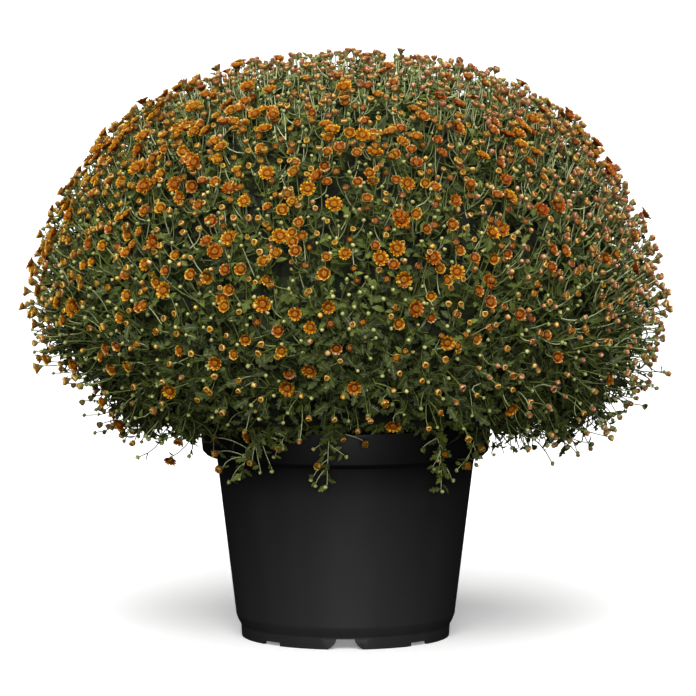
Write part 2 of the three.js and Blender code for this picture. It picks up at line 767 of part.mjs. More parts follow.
function makeLeaf(facet, leans) {
  const weights = [random(), random(), random()].map((draw) => draw + 0.15);
  const total = weights[0] + weights[1] + weights[2];
  const root = new THREE.Vector3()
    .addScaledVector(facet.facet.a, weights[0] / total)
    .addScaledVector(facet.facet.b, weights[1] / total)
    .addScaledVector(facet.facet.c, weights[2] / total);
  const [across, along] = crossAxes(facet.normal);
  const turn = between(0, 2 * Math.PI);
  const lean = THREE.MathUtils.degToRad(between(...leans));
  const flat = across.multiplyScalar(Math.cos(turn)).addScaledVector(along, Math.sin(turn));
  const direction = flat.clone().multiplyScalar(Math.sin(lean));
  direction.addScaledVector(facet.normal, Math.cos(lean));
  const side = facet.normal.clone().cross(flat).normalize();
  const face = direction.clone().cross(side);
  const length = LEAF_LENGTH * between(0.85, 1.15);
  return { branch: facet.branch, root, direction, side, face, length };
}

// Leaves in equal numbers on the facets' area, each tried in a few turns until one is clear
const leavesOf = Array.from({ length: BRANCH_COUNT }, () => []);
const LEAF_TRIES = 20;

function growLeaf(facet, lean) {
  for (let attempt = 0; attempt < LEAF_TRIES; attempt++) {
    const leaf = makeLeaf(facet, lean);
    if (leafIsClear(leaf) && !leavesOf[facet.branch].some((other) => leavesCross(leaf, other))) {
      leavesOf[facet.branch].push(leaf);
      return;
    }
  }
}

const leafyArea = facets.reduce((sum, { facet }) => sum + facet.getArea(), 0);
let owed = 0;
for (const facet of facets) {
  owed += (LEAF_COUNT * facet.facet.getArea()) / leafyArea;
  for (; owed > 0.5; owed--) {
    growLeaf(facet, LEAF_LEAN);
  }
}

// Leaves that hang from the edge of the underside, outside the pot
bushes.forEach((rings, branch) => {
  const [first, last] = [rings[0][BUSH_ROWS], rings[BUSH_COLUMNS][BUSH_ROWS]];
  const inner = first.clone().add(last).setZ(0).setLength(HANGING_RADIUS).setZ(first.z);
  const facet = new THREE.Triangle(first, inner, last);
  for (let leaf = 0; leaf < HANGING_LEAVES; leaf++) {
    growLeaf({ branch, facet, normal: new THREE.Vector3(0, 0, -1) }, HANGING_LEAN);
  }
});

// ---------------------------------------------------------------- branches

// Whether the edges that rise to a tuft's peak keep off every stalk
function tuftIsClear(facet, peak) {
  return [facet.facet.a, facet.facet.b, facet.facet.c].every((corner) => (
    [0.2, 0.4, 0.6, 0.8, 1].every((part) => (
      nearestDistance(corner.clone().lerp(peak, part), stalks) > SHOOT_RADIUS + LEAF_THICKNESS
    ))
  ));
}

// A branch's skin with its facets drawn out into leafy tufts, where no spray stands
function bushGeometry(branch) {
  const rings = bushes[branch];
  const points = rings.flat();
  const tufts = new Map();
  for (const facet of facets) {
    const peak = facet.centre.clone().addScaledVector(facet.normal, TUFT_HEIGHT);
    const free = facet.branch === branch && !taken.has(facet) && facet.room > SHOOT_RADIUS;
    if (free && tuftIsClear(facet, peak)) {
      tufts.set(facet.corners.join(), peak);
    }
  }
  const triangles = [];
  for (const triangle of loftTriangles(rings)) {
    const peak = tufts.get(triangle.join());
    if (peak) {
      const tip = points.push(peak) - 1;
      const [a, b, c] = triangle;
      triangles.push([a, b, tip], [b, c, tip], [c, a, tip]);
    } else {
      triangles.push(triangle);
    }
  }
  return meshGeometry(points, triangles);
}

function branchGeometry(branch) {
  const stem = stemGeometry(branch, STEM_RADIUS, SOIL_Z - STEM_DEPTH, STEM_TOP_Z);
  return joined([bushGeometry(branch), stem, ...leavesOf[branch].map(leafGeometry)]);
}

// ---------------------------------------------------------------- assembly

const leafGreen = new THREE.MeshStandardMaterial({ color: 0x3c5230, roughness: 0.75, metalness: 0 });
const petalOrange = new THREE.MeshStandardMaterial({ color: 0xc9621d, roughness: 0.7, metalness: 0 });
const blackPlastic = new THREE.MeshStandardMaterial({ color: 0x1c1d1e, roughness: 0.55, metalness: 0 });
const peatBrown = new THREE.MeshStandardMaterial({ color: 0x2f231a, roughness: 0.95, metalness: 0 });

const plant = new THREE.Group();

function addPiece(name, geometry, material) {
  const mesh = new THREE.Mesh(geometry, material);
  mesh.name = name;
  plant.add(mesh);
}

addPiece('pot', potGeometry(), blackPlastic);
addPiece('soil', soilGeometry(), peatBrown);
for (let branch = 0; branch < BRANCH_COUNT; branch++) {
  addPiece(`branch_${String(branch).padStart(2, '0')}`, branchGeometry(branch), leafGreen);
}
sprays.forEach((spray, index) => {
  addPiece(`spray_${String(index).padStart(2, '0')}`, sprayGeometry(spray), petalOrange);
});
trails.forEach((trail, index) => {
  addPiece(`trail_${index}`, sprayGeometry(trail), petalOrange);
});

export default plant;
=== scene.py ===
import math
import random

import bmesh
import bpy
import numpy as np
from mathutils import Matrix, Vector, noise
from mathutils.kdtree import KDTree


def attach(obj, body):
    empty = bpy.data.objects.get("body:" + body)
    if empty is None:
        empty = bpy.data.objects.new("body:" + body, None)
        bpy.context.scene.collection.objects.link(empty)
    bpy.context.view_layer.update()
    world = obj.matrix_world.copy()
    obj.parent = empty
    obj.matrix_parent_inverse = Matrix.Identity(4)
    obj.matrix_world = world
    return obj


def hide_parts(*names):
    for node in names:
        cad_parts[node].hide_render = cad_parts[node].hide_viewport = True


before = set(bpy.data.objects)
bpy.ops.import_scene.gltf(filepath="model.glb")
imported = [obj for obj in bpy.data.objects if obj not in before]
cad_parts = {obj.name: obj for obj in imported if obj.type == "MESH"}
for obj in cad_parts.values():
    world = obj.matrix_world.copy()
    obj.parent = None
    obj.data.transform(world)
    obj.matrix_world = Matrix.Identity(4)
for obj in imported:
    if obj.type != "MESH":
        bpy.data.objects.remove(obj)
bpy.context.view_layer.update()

# ---------------------------------------------------------------- camera
# A long lens five and a half metres in front of the pot, a little above the middle of the flowers, so
# that it looks down on the plant by about five degrees.

VIEW_WIDTH = 0.727  # metres across at the plant
VIEW_CENTRE = Vector((0.0026, 0, 0.302))
CAMERA_PLACE = Vector((0.0026, -5.5, 0.82))

camera_data = bpy.data.cameras.new("camera")
camera_data.lens = camera_data.sensor_width * (CAMERA_PLACE - VIEW_CENTRE).length / VIEW_WIDTH
camera = bpy.data.objects.new("camera", camera_data)
camera.location = CAMERA_PLACE
camera.rotation_euler = (VIEW_CENTRE - CAMERA_PLACE).to_track_quat("-Z", "Y").to_euler()
bpy.context.collection.objects.link(camera)
bpy.context.scene.camera = camera

# ---------------------------------------------------------------- light
# A broad soft key light from the front, weaker ones from low down and overhead, and a grey room that is
# darker towards the ground.

ROOM_STRENGTH = 0.4
ROOM_SHADES = [(0.5, 0.03), (0.8, 1.0)]  # (height in the room from 0 to 1, brightness)
SOFT_LIGHTS = {
    "front_light": {"elevation": 36, "turn": -2, "strength": 2.4, "spread": 30},
    "low_light": {"elevation": 5, "turn": 1, "strength": 1.6, "spread": 16},
    "top_light": {"elevation": 70, "turn": -8, "strength": 2.1, "spread": 60},
}


def srgb(code):
    """The linear colour of an sRGB hex code."""
    parts = [int(code[digit:digit + 2], 16) / 255 for digit in (1, 3, 5)]
    return [part / 12.92 if part <= 0.04045 else ((part + 0.055) / 1.055) ** 2.4 for part in parts] + [1]


def fill(node, inputs):
    """Gives the inputs of a node their values, or links them to the outputs given."""
    for name, value in dict(inputs).items():
        if isinstance(value, bpy.types.NodeSocket):
            node.id_data.links.new(value, node.inputs[name])
        else:
            node.inputs[name].default_value = value


def add_node(owner, kind, inputs=(), stops=(), output=0, **settings):
    """The output of a new node with its settings, its inputs and the stops of its colour ramp."""
    node = owner.node_tree.nodes.new("ShaderNode" + kind)
    for name, value in settings.items():
        setattr(node, name, value)
    fill(node, inputs)
    for index, (place, code) in enumerate(stops):
        elements = node.color_ramp.elements
        stop = elements[index] if index < 2 else elements.new(place)
        stop.position = place
        stop.color = srgb(code)
    return node.outputs[output]


room = bpy.data.worlds.new("grey_room")
room.use_nodes = True
way = add_node(room, "TexCoord", output="Generated")
height = add_node(room, "SeparateXYZ", {"Vector": way}, output="Z")
level = add_node(room, "MapRange", {"Value": height, "From Min": -1})
shade = add_node(room, "ValToRGB", {"Fac": level})
for stop, (place, brightness) in zip(shade.node.color_ramp.elements, ROOM_SHADES):
    stop.position = place
    stop.color = (brightness, brightness, brightness, 1)
fill(room.node_tree.nodes["Background"], {"Color": shade, "Strength": ROOM_STRENGTH})
bpy.context.scene.world = room
bpy.context.scene.view_settings.view_transform = "Standard"

for name, source in SOFT_LIGHTS.items():
    light = bpy.data.lights.new(name, "SUN")
    light.energy = source["strength"]
    light.angle = math.radians(source["spread"])
    lamp = bpy.data.objects.new(name, light)
    lamp.rotation_euler = (math.radians(90 - source["elevation"]), 0, math.radians(source["turn"]))
    bpy.context.collection.objects.link(lamp)

# ---------------------------------------------------------------- floor
# A round sheet of matt opal acrylic, lit a little from below, that runs on past the edge of the view.
# It is the stage that the pot stands on, and no part of it.

FLOOR_RADIUS = 60
FLOOR_SIDES = 64
FLOOR_GLOW = 0.22


def new_material(name, ior=1.45):
    """A material, its shader, and the place on the piece, which its patterns are drawn by."""
    material = bpy.data.materials.new(name)
    material.use_nodes = True
    shader = material.node_tree.nodes["Principled BSDF"]
    shader.inputs["IOR"].default_value = ior
    return material, shader, add_node(material, "TexCoord", output="Object")


def mesh_of(bm, name):
    """The mesh of a finished bmesh."""
    mesh = bpy.data.meshes.new(name)
    bm.to_mesh(mesh)
    bm.free()
    return mesh


def finished(bm, name, materials):
    """The object of a finished bmesh, in place, with its materials."""
    mesh = mesh_of(bm, name)
    for material in materials:
        mesh.materials.append(material)
    mesh.shade_smooth()
    piece = bpy.data.objects.new(name, mesh)
    bpy.context.collection.objects.link(piece)
    return piece


def opal_acrylic():
    """Matt opal acrylic: pale, with no gloss, faintly uneven, and a glow that keeps shadows light."""
    material, shader, place = new_material("opal_acrylic")
    roller = add_node(material, "TexNoise", {"Vector": place, "Scale": 3})
    tint = add_node(material, "ValToRGB", {"Fac": roller}, stops=[(0.3, "#fbfbfa"), (0.7, "#fdfdfc")])
    fill(shader, {"Base Color": tint, "Roughness": 0.9, "Emission Color": srgb("#ffffff"),
                  "Emission Strength": FLOOR_GLOW})
    return material


bm = bmesh.new()
bmesh.ops.create_circle(bm, cap_ends=True, segments=FLOOR_SIDES, radius=FLOOR_RADIUS)
floor = finished(bm, "floor", [opal_acrylic()])
floor.visible_diffuse = False  # the board shows, but throws no light up into the shaded underside
floor.visible_glossy = False

# ---------------------------------------------------------------- pot
# A tapered nursery pot with a deep collar, injection moulded in one shot from black polypropylene.
# Its foot is a ring with two drain outlets, each in a shallow recess, and four low slots.

MM = 0.001
RIM_RADIUS = 152.5 * MM
POT_HEIGHT = 228 * MM
WALL = 2.2 * MM
COLLAR_FOOT_RADIUS = 149.5 * MM
COLLAR_FOOT_Z = 199 * MM
COLLAR_ROLL = 4 * MM  # the round under the collar's foot
SHOULDER_RADIUS = 135 * MM
SHOULDER_Z = 191 * MM
PAINTED_SHADE_Z = 0.82 * SHOULDER_Z  # above this the wall is painted darker and darker up to the collar, as painted shade
BODY_FOOT_RADIUS = 114 * MM
BODY_FOOT_Z = 21 * MM
BODY_ROLL = 2.5 * MM  # the round at the wall's foot
FOOT_RING_RADIUS = 109.5 * MM
FOOT_RING_TOP_Z = 15 * MM
FOOT_RING_WIDTH = 5 * MM
FOOT_RING_TAPER = 0.8 * MM
FLOOR_Z = 12 * MM
POT_STEPS = 128
POT_EDGE = 0.7 * MM  # the small round that a mould leaves on every corner
CORNER_ANGLE = math.radians(12)  # the least turn that counts as a corner
CREASE_ANGLE = math.radians(40)
RECESS_WIDTH = 50 * MM
RECESS_HEIGHT = 11 * MM
RECESS_DEPTH = 2.4 * MM
OUTLET_TOP_WIDTH = 19 * MM
OUTLET_FOOT_WIDTH = 37 * MM
OUTLET_FLARE = 2.2  # the power by which its sides curve out
OUTLET_CUTS = 15
SLOT_WIDTH = 24 * MM
SLOT_HEIGHT = 3.8 * MM


def pot_shell():
    """The pot's wall, collar and foot ring: one profile spun round the axis, its corners rounded."""
    inner_ring = FOOT_RING_RADIUS - FOOT_RING_WIDTH
    profile = [
        (0, FLOOR_Z),
        (inner_ring, FLOOR_Z),
        (inner_ring, 0),
        (FOOT_RING_RADIUS - FOOT_RING_TAPER, 0),
        (FOOT_RING_RADIUS, FOOT_RING_TOP_Z - BODY_ROLL),
        (BODY_FOOT_RADIUS - 0.5 * BODY_ROLL, BODY_FOOT_Z - BODY_ROLL),
        (BODY_FOOT_RADIUS + 0.2 * BODY_ROLL, BODY_FOOT_Z + BODY_ROLL),
        (SHOULDER_RADIUS, SHOULDER_Z),
        (COLLAR_FOOT_RADIUS - COLLAR_ROLL, COLLAR_FOOT_Z - 1.8 * COLLAR_ROLL),
        (COLLAR_FOOT_RADIUS, COLLAR_FOOT_Z - 0.8 * COLLAR_ROLL),
        (RIM_RADIUS, POT_HEIGHT - WALL),
        (RIM_RADIUS, POT_HEIGHT),
        (RIM_RADIUS - WALL, POT_HEIGHT),
        (RIM_RADIUS - WALL, POT_HEIGHT - WALL),
        (COLLAR_FOOT_RADIUS - WALL, COLLAR_FOOT_Z + WALL),
        (SHOULDER_RADIUS - WALL, SHOULDER_Z + WALL),
        (BODY_FOOT_RADIUS - WALL, BODY_FOOT_Z),
        (FOOT_RING_RADIUS - WALL, FLOOR_Z + WALL),
        (0, FLOOR_Z + WALL),
    ]
    bm = bmesh.new()
    corners = [bm.verts.new((radius, 0, height)) for radius, height in profile]
    chain = [bm.edges.new(pair) for pair in zip(corners, corners[1:])]
    bmesh.ops.spin(bm, geom=corners + chain, cent=(0, 0, 0), axis=(0, 0, 1), angle=2 * math.pi,
                   steps=POT_STEPS, use_merge=True)
    bmesh.ops.remove_doubles(bm, verts=bm.verts, dist=1e-6)
    bmesh.ops.recalc_face_normals(bm, faces=bm.faces)
    rings = [
        edge for edge in bm.edges
        if abs(edge.verts[0].co.z - edge.verts[1].co.z) < 1e-6
        and abs(edge.verts[0].co.xy.length - edge.verts[1].co.xy.length) < 1e-5
        and edge.calc_face_angle() > CORNER_ANGLE
    ]
    bmesh.ops.bevel(bm, geom=rings, affect="EDGES", offset=POT_EDGE, segments=3, profile=0.5,
                    material=-1)
    return bm


def cutter_bar(width, height, inner, outer, turn):
    """A bar that cuts a flat notch into the foot ring from one radius to another."""
    bm = bmesh.new()
    bmesh.ops.create_cube(bm, size=1)
    bmesh.ops.scale(bm, verts=bm.verts, vec=(outer - inner, width, 2 * height))
    bmesh.ops.translate(bm, verts=bm.verts, vec=((outer + inner) / 2, 0, 0))
    bmesh.ops.rotate(bm, verts=bm.verts, cent=(0, 0, 0), matrix=Matrix.Rotation(turn, 3, "Z"))
    return bm


def outlet_cutter(turn):
    """A bar with sides that flare down in an arc, for an outlet right through the foot ring."""
    bm = cutter_bar(OUTLET_TOP_WIDTH, RECESS_HEIGHT, FOOT_RING_RADIUS - 4 * FOOT_RING_WIDTH,
                    FOOT_RING_RADIUS + 2 * FOOT_RING_WIDTH, 0)
    upright = [edge for edge in bm.edges
               if abs(edge.verts[0].co.z - edge.verts[1].co.z) > RECESS_HEIGHT]
    bmesh.ops.subdivide_edges(bm, edges=upright, cuts=OUTLET_CUTS, use_grid_fill=True)
    for vert in bm.verts:
        drop = min(max(1 - vert.co.z / RECESS_HEIGHT, 0), 1)
        flare = (OUTLET_FOOT_WIDTH - OUTLET_TOP_WIDTH) * drop ** OUTLET_FLARE
        vert.co.y = math.copysign((OUTLET_TOP_WIDTH + flare) / 2, vert.co.y)
    bmesh.ops.rotate(bm, verts=bm.verts, cent=(0, 0, 0), matrix=Matrix.Rotation(turn, 3, "Z"))
    return bm


def cut(piece, cutters):
    """Takes each cutter out of the piece."""
    for bm in cutters:
        cutter = finished(bm, "cutter", [])
        modifier = piece.modifiers.new("cut", "BOOLEAN")
        modifier.operation = "DIFFERENCE"
        modifier.solver = "EXACT"
        modifier.object = cutter
        depsgraph = bpy.context.evaluated_depsgraph_get()
        mesh = bpy.data.meshes.new_from_object(piece.evaluated_get(depsgraph))
        piece.modifiers.remove(modifier)
        piece.data = mesh
        bpy.data.objects.remove(cutter)


def black_polypropylene():
    """Moulded black polypropylene: fine spark texture, faint flow marks and dust. The top of the wall
    and the collar are painted near black, as painted shade under the collar and the leaves."""
    material, shader, place = new_material("black_polypropylene", ior=1.49)
    flow_place = add_node(material, "Mapping", {"Vector": place, "Scale": (1, 1, 0.15)})
    flow = add_node(material, "TexNoise", {"Vector": flow_place, "Scale": 1 / (25 * MM), "Detail": 4})
    tint = add_node(material, "ValToRGB", {"Fac": flow}, stops=[(0.25, "#212122"), (0.8, "#252526")])
    # Painted shade: darker up the top of the wall, and near black on the collar
    height = add_node(material, "SeparateXYZ", {"Vector": place}, output="Z")
    shaded = add_node(material, "MapRange", {"Value": height, "From Min": PAINTED_SHADE_Z, "From Max": SHOULDER_Z})
    shade_painted_colour = add_node(material, "Mix", {0: shaded, 6: tint, 7: srgb("#0e0e0f")}, output=2, data_type="RGBA")
    dust = add_node(material, "TexNoise", {"Vector": place, "Scale": 1 / (3 * MM), "Detail": 6})
    dusty = add_node(material, "MapRange", {"Value": dust, "From Min": 0.55, "From Max": 0.85,
                                            "To Max": 0.06})
    colour = add_node(material, "Mix", {0: dusty, 6: shade_painted_colour, 7: srgb("#4a463e")}, output=2, data_type="RGBA")
    rough = add_node(material, "MapRange", {"Value": flow, "To Min": 0.46, "To Max": 0.56})
    # Spark texture is about 0.3 mm; it is drawn at 0.8 mm so that it shows
    spark = add_node(material, "TexNoise", {"Vector": place, "Scale": 1 / (0.8 * MM), "Detail": 2})
    grain = add_node(material, "Bump", {"Height": spark, "Strength": 0.25, "Distance": 0.1 * MM})
    fill(shader, {"Base Color": colour, "Roughness": rough, "Normal": grain, "Specular IOR Level": 0.27})
    return material


pot = finished(pot_shell(), "moulded_pot", [black_polypropylene()])
cutters = []
for turn in (-math.pi / 2, math.pi / 2):
    cutters.append(cutter_bar(RECESS_WIDTH, RECESS_HEIGHT, FOOT_RING_RADIUS - RECESS_DEPTH,
                              FOOT_RING_RADIUS + 4 * FOOT_RING_WIDTH, turn))
    cutters.append(outlet_cutter(turn))
for quarter in range(4):
    cutters.append(cutter_bar(SLOT_WIDTH, SLOT_HEIGHT, FOOT_RING_RADIUS - 2 * FOOT_RING_WIDTH,
                              FOOT_RING_RADIUS + 2 * FOOT_RING_WIDTH, math.pi / 4 + quarter * math.pi / 2))
cut(pot, cutters)
pot.data.shade_smooth()
pot.data.set_sharp_from_angle(angle=CREASE_ANGLE)
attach(pot, "root")
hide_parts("pot")

# ---------------------------------------------------------------- growing mix
# Damp peat with bark crumbs, filled to a low mound below the rim. Its shape is the model's own, with a
# hole for each stem, and only its finish is given here.


def damp_peat():
    """Damp fibrous peat: near black brown, matt, broken by paler crumbs of bark and white perlite."""
    material, shader, place = new_material("damp_peat")
    crumbs = add_node(material, "TexVoronoi", {"Vector": place, "Scale": 1 / (5 * MM)})
    tint = add_node(material, "ValToRGB", {"Fac": crumbs.node.outputs["Color"]},
                    stops=[(0.2, "#1b130d"), (0.75, "#3a2a1c"), (0.97, "#8f8672")])
    lumps = add_node(material, "Bump", {"Height": crumbs, "Strength": 1, "Distance": 2 * MM})
    fill(shader, {"Base Color": tint, "Roughness": 0.95, "Normal": lumps})
    return material


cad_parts["soil"].data.materials.clear()
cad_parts["soil"].data.materials.append(damp_peat())

# ---------------------------------------------------------------- leafy branches
# Ten woody branches carry the bush. Each is a stem in the mix, a mass of old inner shoots painted
# dark as painted shade, and young downy shoots that curve up and out of it, set with soft grey-green lobed
# leaves.

UP = Vector((0, 0, 1))
SEED = 11
GOLDEN_ANGLE = math.pi * (3 - math.sqrt(5))
DOME_RADIUS = 336 * MM
DOME_CENTRE_Z = 353 * MM
DOME_RISE = 258 * MM
DOME_DROP = 209 * MM
DOME_STEPS = 400
SKIRT_ANGLE = math.radians(136)
THIN_PLACE_ANGLE = 118  # degrees from the top
THIN_PLACE_SPREAD = 7
THIN_PLACE_DEPTH = 0.08
COLLAR_VIEW = math.radians(38)  # to each side of the front, where the bush stops above the collar
COLLAR_VIEW_ANGLE = math.radians(122)
COLLAR_VIEW_RAGGED = math.radians(7)
BRANCH_COUNT = 10
INNER_SCALE = 0.79
INNER_THIN_DEPTH = 0.07
INNER_LUMP = 12 * MM
INNER_LUMP_SIZE = 40 * MM
INNER_TOP_ANGLE = math.radians(4)
INNER_FOOT_Z = 238 * MM
INNER_ROWS = 22
INNER_COLUMNS = 8
INNER_CLOSE = 0.02  # how near the axis its back edge comes, as a share of the way
STEM_RADIUS = 5.5 * MM
STEM_RING_RADIUS = 62 * MM
STEM_FOOT_Z = 161 * MM
STEM_TOP_Z = 260 * MM
STEM_TAPER = 0.8
STEM_SIDES = 12
STALK_SIDES = 3
SHOOT_COUNT = 1220
SHOOT_TIPS = (0.86, 0.93)  # scales of the dome
SHOOT_LENGTHS = (50 * MM, 80 * MM)
SHOOT_SAG = 8 * MM
SHOOT_BOW = 6 * MM
SHOOT_RADII = (1.2 * MM, 0.6 * MM)
SHOOT_SHADE = (66, 98)  # degrees from the top across which the shoots pass on to the shaded skirt, where their stalks and leaves are painted darker as painted shade
SHOOT_LEAVES = 5
LEAF_LENGTHS = (14 * MM, 26 * MM)
OLD_LEAF_COUNT = 3400
OLD_LEAF_ROOTS = (0.77, 0.85)
OLD_LEAF_LENGTHS = (16 * MM, 27 * MM)
# degrees from the top across which old leaves are painted darker, as painted shade
OLD_LEAF_PAINTED_SHADE = (70, 105)
HANGING_SHOOT_COUNT = 110
HANGING_ROOT_RADII = (160 * MM, 195 * MM)
HANGING_ROOT_Z = 246 * MM
HANGING_SHARES = (0.35, 1)  # of the longest that a shoot may be where it hangs
HANGING_LEAF_LENGTHS = (11 * MM, 18 * MM)
# The longest hanging shoots (mm) by their turn from the front: short ones leave the collar in view
FRINGE_LENGTHS = ([-50, -38, -12, -2, 18, 26, 38, 50], [50, 34, 28, 16, 14, 24, 28, 55])
BRANCH_SLOTS = {"leaf": 0, "inside": 1, "stem": 2, "stalk": 3}
# Up a lobed leaf: place of the midrib, place of the edge, half width
LOBED_ROWS = [
    (0.00, 0.00, 0.02),
    (0.14, 0.12, 0.03),
    (0.26, 0.22, 0.14),
    (0.34, 0.42, 0.26),
    (0.48, 0.46, 0.13),
    (0.60, 0.72, 0.29),
    (0.74, 0.74, 0.12),
    (0.86, 0.92, 0.14),
    (1.00, 1.00, 0.03),
]

random.seed(SEED)
noise.seed_set(SEED)


def graded(angle, degrees, values):
    """The value at an angle, read between the values given at some degrees."""
    return float(np.interp(math.degrees(angle), degrees, values))


def outward_at(azimuth):
    """The level direction away from the pot's axis."""
    return Vector((math.cos(azimuth), math.sin(azimuth), 0))


def from_front(azimuth):
    """The turn of an azimuth from the front, from -pi to pi."""
    return (azimuth + math.pi / 2 + math.pi) % (2 * math.pi) - math.pi


def dome_height(angle):
    return DOME_RISE if math.cos(angle) > 0 else DOME_DROP


def dome_point(angle, azimuth, scale=1.0):
    """A point of the dome, shrunk about the centre of its widest ring; the angle runs down from the top."""
    radius = DOME_RADIUS * math.sin(angle) * scale
    return Vector((radius * math.cos(azimuth), radius * math.sin(azimuth),
                   DOME_CENTRE_Z + dome_height(angle) * math.cos(angle) * scale))


def dome_normal(angle, azimuth):
    flat = math.sin(angle) / DOME_RADIUS
    return Vector((flat * math.cos(azimuth), flat * math.sin(azimuth),
                   math.cos(angle) / dome_height(angle))).normalized()


def dome_scale(point):
    """The scale of the dome that passes through a point."""
    rise = point.z - DOME_CENTRE_Z
    return Vector((point.x / DOME_RADIUS, point.y / DOME_RADIUS,
                   rise / (DOME_RISE if rise > 0 else DOME_DROP))).length


def shows_collar(angle, azimuth):
    """True where the bush stops short, so that the collar shows below it in front."""
    ragged = COLLAR_VIEW_RAGGED * noise.noise(Vector((from_front(azimuth) * 9, 0, 0)))
    return abs(from_front(azimuth)) < COLLAR_VIEW and angle > COLLAR_VIEW_ANGLE + ragged


def dome_sites(count, density, stray=0.0):
    """Sites (angle, azimuth) spread over the dome by area times density, with none over the collar.
    Stray loosens their pattern."""
    shares = [0]
    for step in range(DOME_STEPS):
        angle = (step + 0.5) / DOME_STEPS * SKIRT_ANGLE
        slope = math.hypot(DOME_RADIUS * math.cos(angle), dome_height(angle) * math.sin(angle))
        shares.append(shares[step] + slope * math.sin(angle) * density(angle))
    edges = np.linspace(0, SKIRT_ANGLE, DOME_STEPS + 1)
    spacing = math.sqrt(4 / count)
    sites = []
    for index in range(count):
        angle = float(np.interp((index + 0.5) / count * shares[-1], shares, edges))
        azimuth = index * GOLDEN_ANGLE
        angle += random.gauss(0, stray) * spacing
        azimuth += random.gauss(0, stray) * spacing / max(math.sin(angle), 0.1)
        sites.append((min(abs(angle), SKIRT_ANGLE), azimuth))
    return [site for site in sites if not shows_collar(*site)]


def thin_place(angle, azimuth):
    """From 0 to 1 towards the middle of the thin place low on the plant's left."""
    off = (math.degrees(angle) - THIN_PLACE_ANGLE) / THIN_PLACE_SPREAD
    return math.exp(-off * off) * max(0, -math.cos(azimuth)) ** 2


def swell(angle, azimuth):
    """How far the flowers stand out from the dome: fuller shoulders, fuller on the low right, and
    drawn in at the thin place."""
    even = graded(angle, [0, 15, 30, 45, 65, 90, 115, 136],
                  [0.004, 0.022, 0.03, 0.018, -0.01, 0.0, 0.012, 0.02])
    right = graded(angle, [0, 30, 60, 90, 115, 136], [0.0, 0.014, 0.0, 0.0, 0.02, 0.03])
    return 1 + even + right * math.cos(azimuth) - THIN_PLACE_DEPTH * thin_place(angle, azimuth)


def inner_scale(angle, azimuth, scale=INNER_SCALE):
    """The scale of the dome where the dark inside ends, which is drawn in at the thin place too."""
    return scale - INNER_THIN_DEPTH * thin_place(angle, azimuth)


def growth(angle, azimuth):
    """The way shoots and stalks grow: up and outward on top, more and more outward down the sides."""
    upward = graded(angle, [0, 45, 60, 85, 105, 136], [1.0, 0.85, 0.7, 0.45, 0.15, -0.1])
    return (dome_normal(angle, azimuth) * 0.7 + UP * upward).normalized()


def stray_direction(amount):
    return Vector((random.gauss(0, amount), random.gauss(0, amount), random.gauss(0, amount)))


def leaf_shape(rows, fold, arch, twist=0.0):
    """A leaf one unit long, folded on its midrib and arched back, from its rows up the midrib."""
    bm = bmesh.new()
    bmesh.ops.create_grid(bm, x_segments=2, y_segments=len(rows) - 1, size=1)
    along = bm.verts.layers.float.new("along")
    across = bm.verts.layers.float.new("across")
    bm.verts.layers.float.new("tone")
    for vert in bm.verts:
        middle, edge, half = rows[round((vert.co.y + 1) / 2 * (len(rows) - 1))]
        side = round(vert.co.x)
        length = middle if side == 0 else edge
        vert[along] = length
        vert[across] = side
        rise = half * abs(side) * fold - arch * length ** 2 + twist * side * half * length
        vert.co = Vector((side * half, length, rise))
    return mesh_of(bm, "leaf")


def plain_rows(halves):
    """The rows of a leaf without lobes, from its half widths up the midrib."""
    last = len(halves) - 1
    return [(row / last, row / last, half) for row, half in enumerate(halves)]


def add_mesh(bm, mesh, tone, slot=None):
    """Moves a mesh into the piece, with its own tone; without a slot it keeps its materials."""
    mesh.attributes["tone"].data.foreach_set("value", [tone] * len(mesh.vertices))
    if slot is not None:
        mesh.polygons.foreach_set("material_index", [slot] * len(mesh.polygons))
    bm.from_mesh(mesh)
    bpy.data.meshes.remove(mesh)


def add_copy(bm, shape, matrix, tone, slot=None):
    """Adds a copy of a shape to the piece."""
    copy = shape.copy()
    copy.transform(matrix)
    add_mesh(bm, copy, tone, slot)


def add_leaf(bm, shape, root, direction, face, length, tone, slot):
    """Adds a leaf that leaves its root along the direction, with its upper side near the face direction."""
    direction = direction.normalized()
    side = direction.cross(face).normalized()
    turn = Matrix((side, direction, side.cross(direction))).transposed().to_4x4()
    add_copy(bm, shape, Matrix.Translation(root) @ turn @ Matrix.Scale(length, 4), tone, slot)


def stalk_shape(steps):
    """A straight stalk of unit length and radius, open at both ends, which are sunk in other shapes."""
    bm = bmesh.new()
    bm.verts.layers.float.new("tone")
    ring = bmesh.ops.create_circle(bm, segments=STALK_SIDES, radius=1)["verts"]
    edges = list({edge for vert in ring for edge in vert.link_edges})
    for _ in range(steps):
        made = bmesh.ops.extrude_edge_only(bm, edges=edges)["geom"]
        verts = [item for item in made if isinstance(item, bmesh.types.BMVert)]
        edges = [item for item in made if isinstance(item, bmesh.types.BMEdge)
                 and item.verts[0] in verts and item.verts[1] in verts]
        bmesh.ops.translate(bm, verts=verts, vec=(0, 0, 1 / steps))
    bmesh.ops.recalc_face_normals(bm, faces=bm.faces)
    return mesh_of(bm, "stalk")


STALK = stalk_shape(steps=4)
SHORT_STALK = stalk_shape(steps=3)


def curve_point(curve, t):
    start, bend, end = curve
    return start * (1 - t) ** 2 + bend * (2 * t * (1 - t)) + end * t ** 2


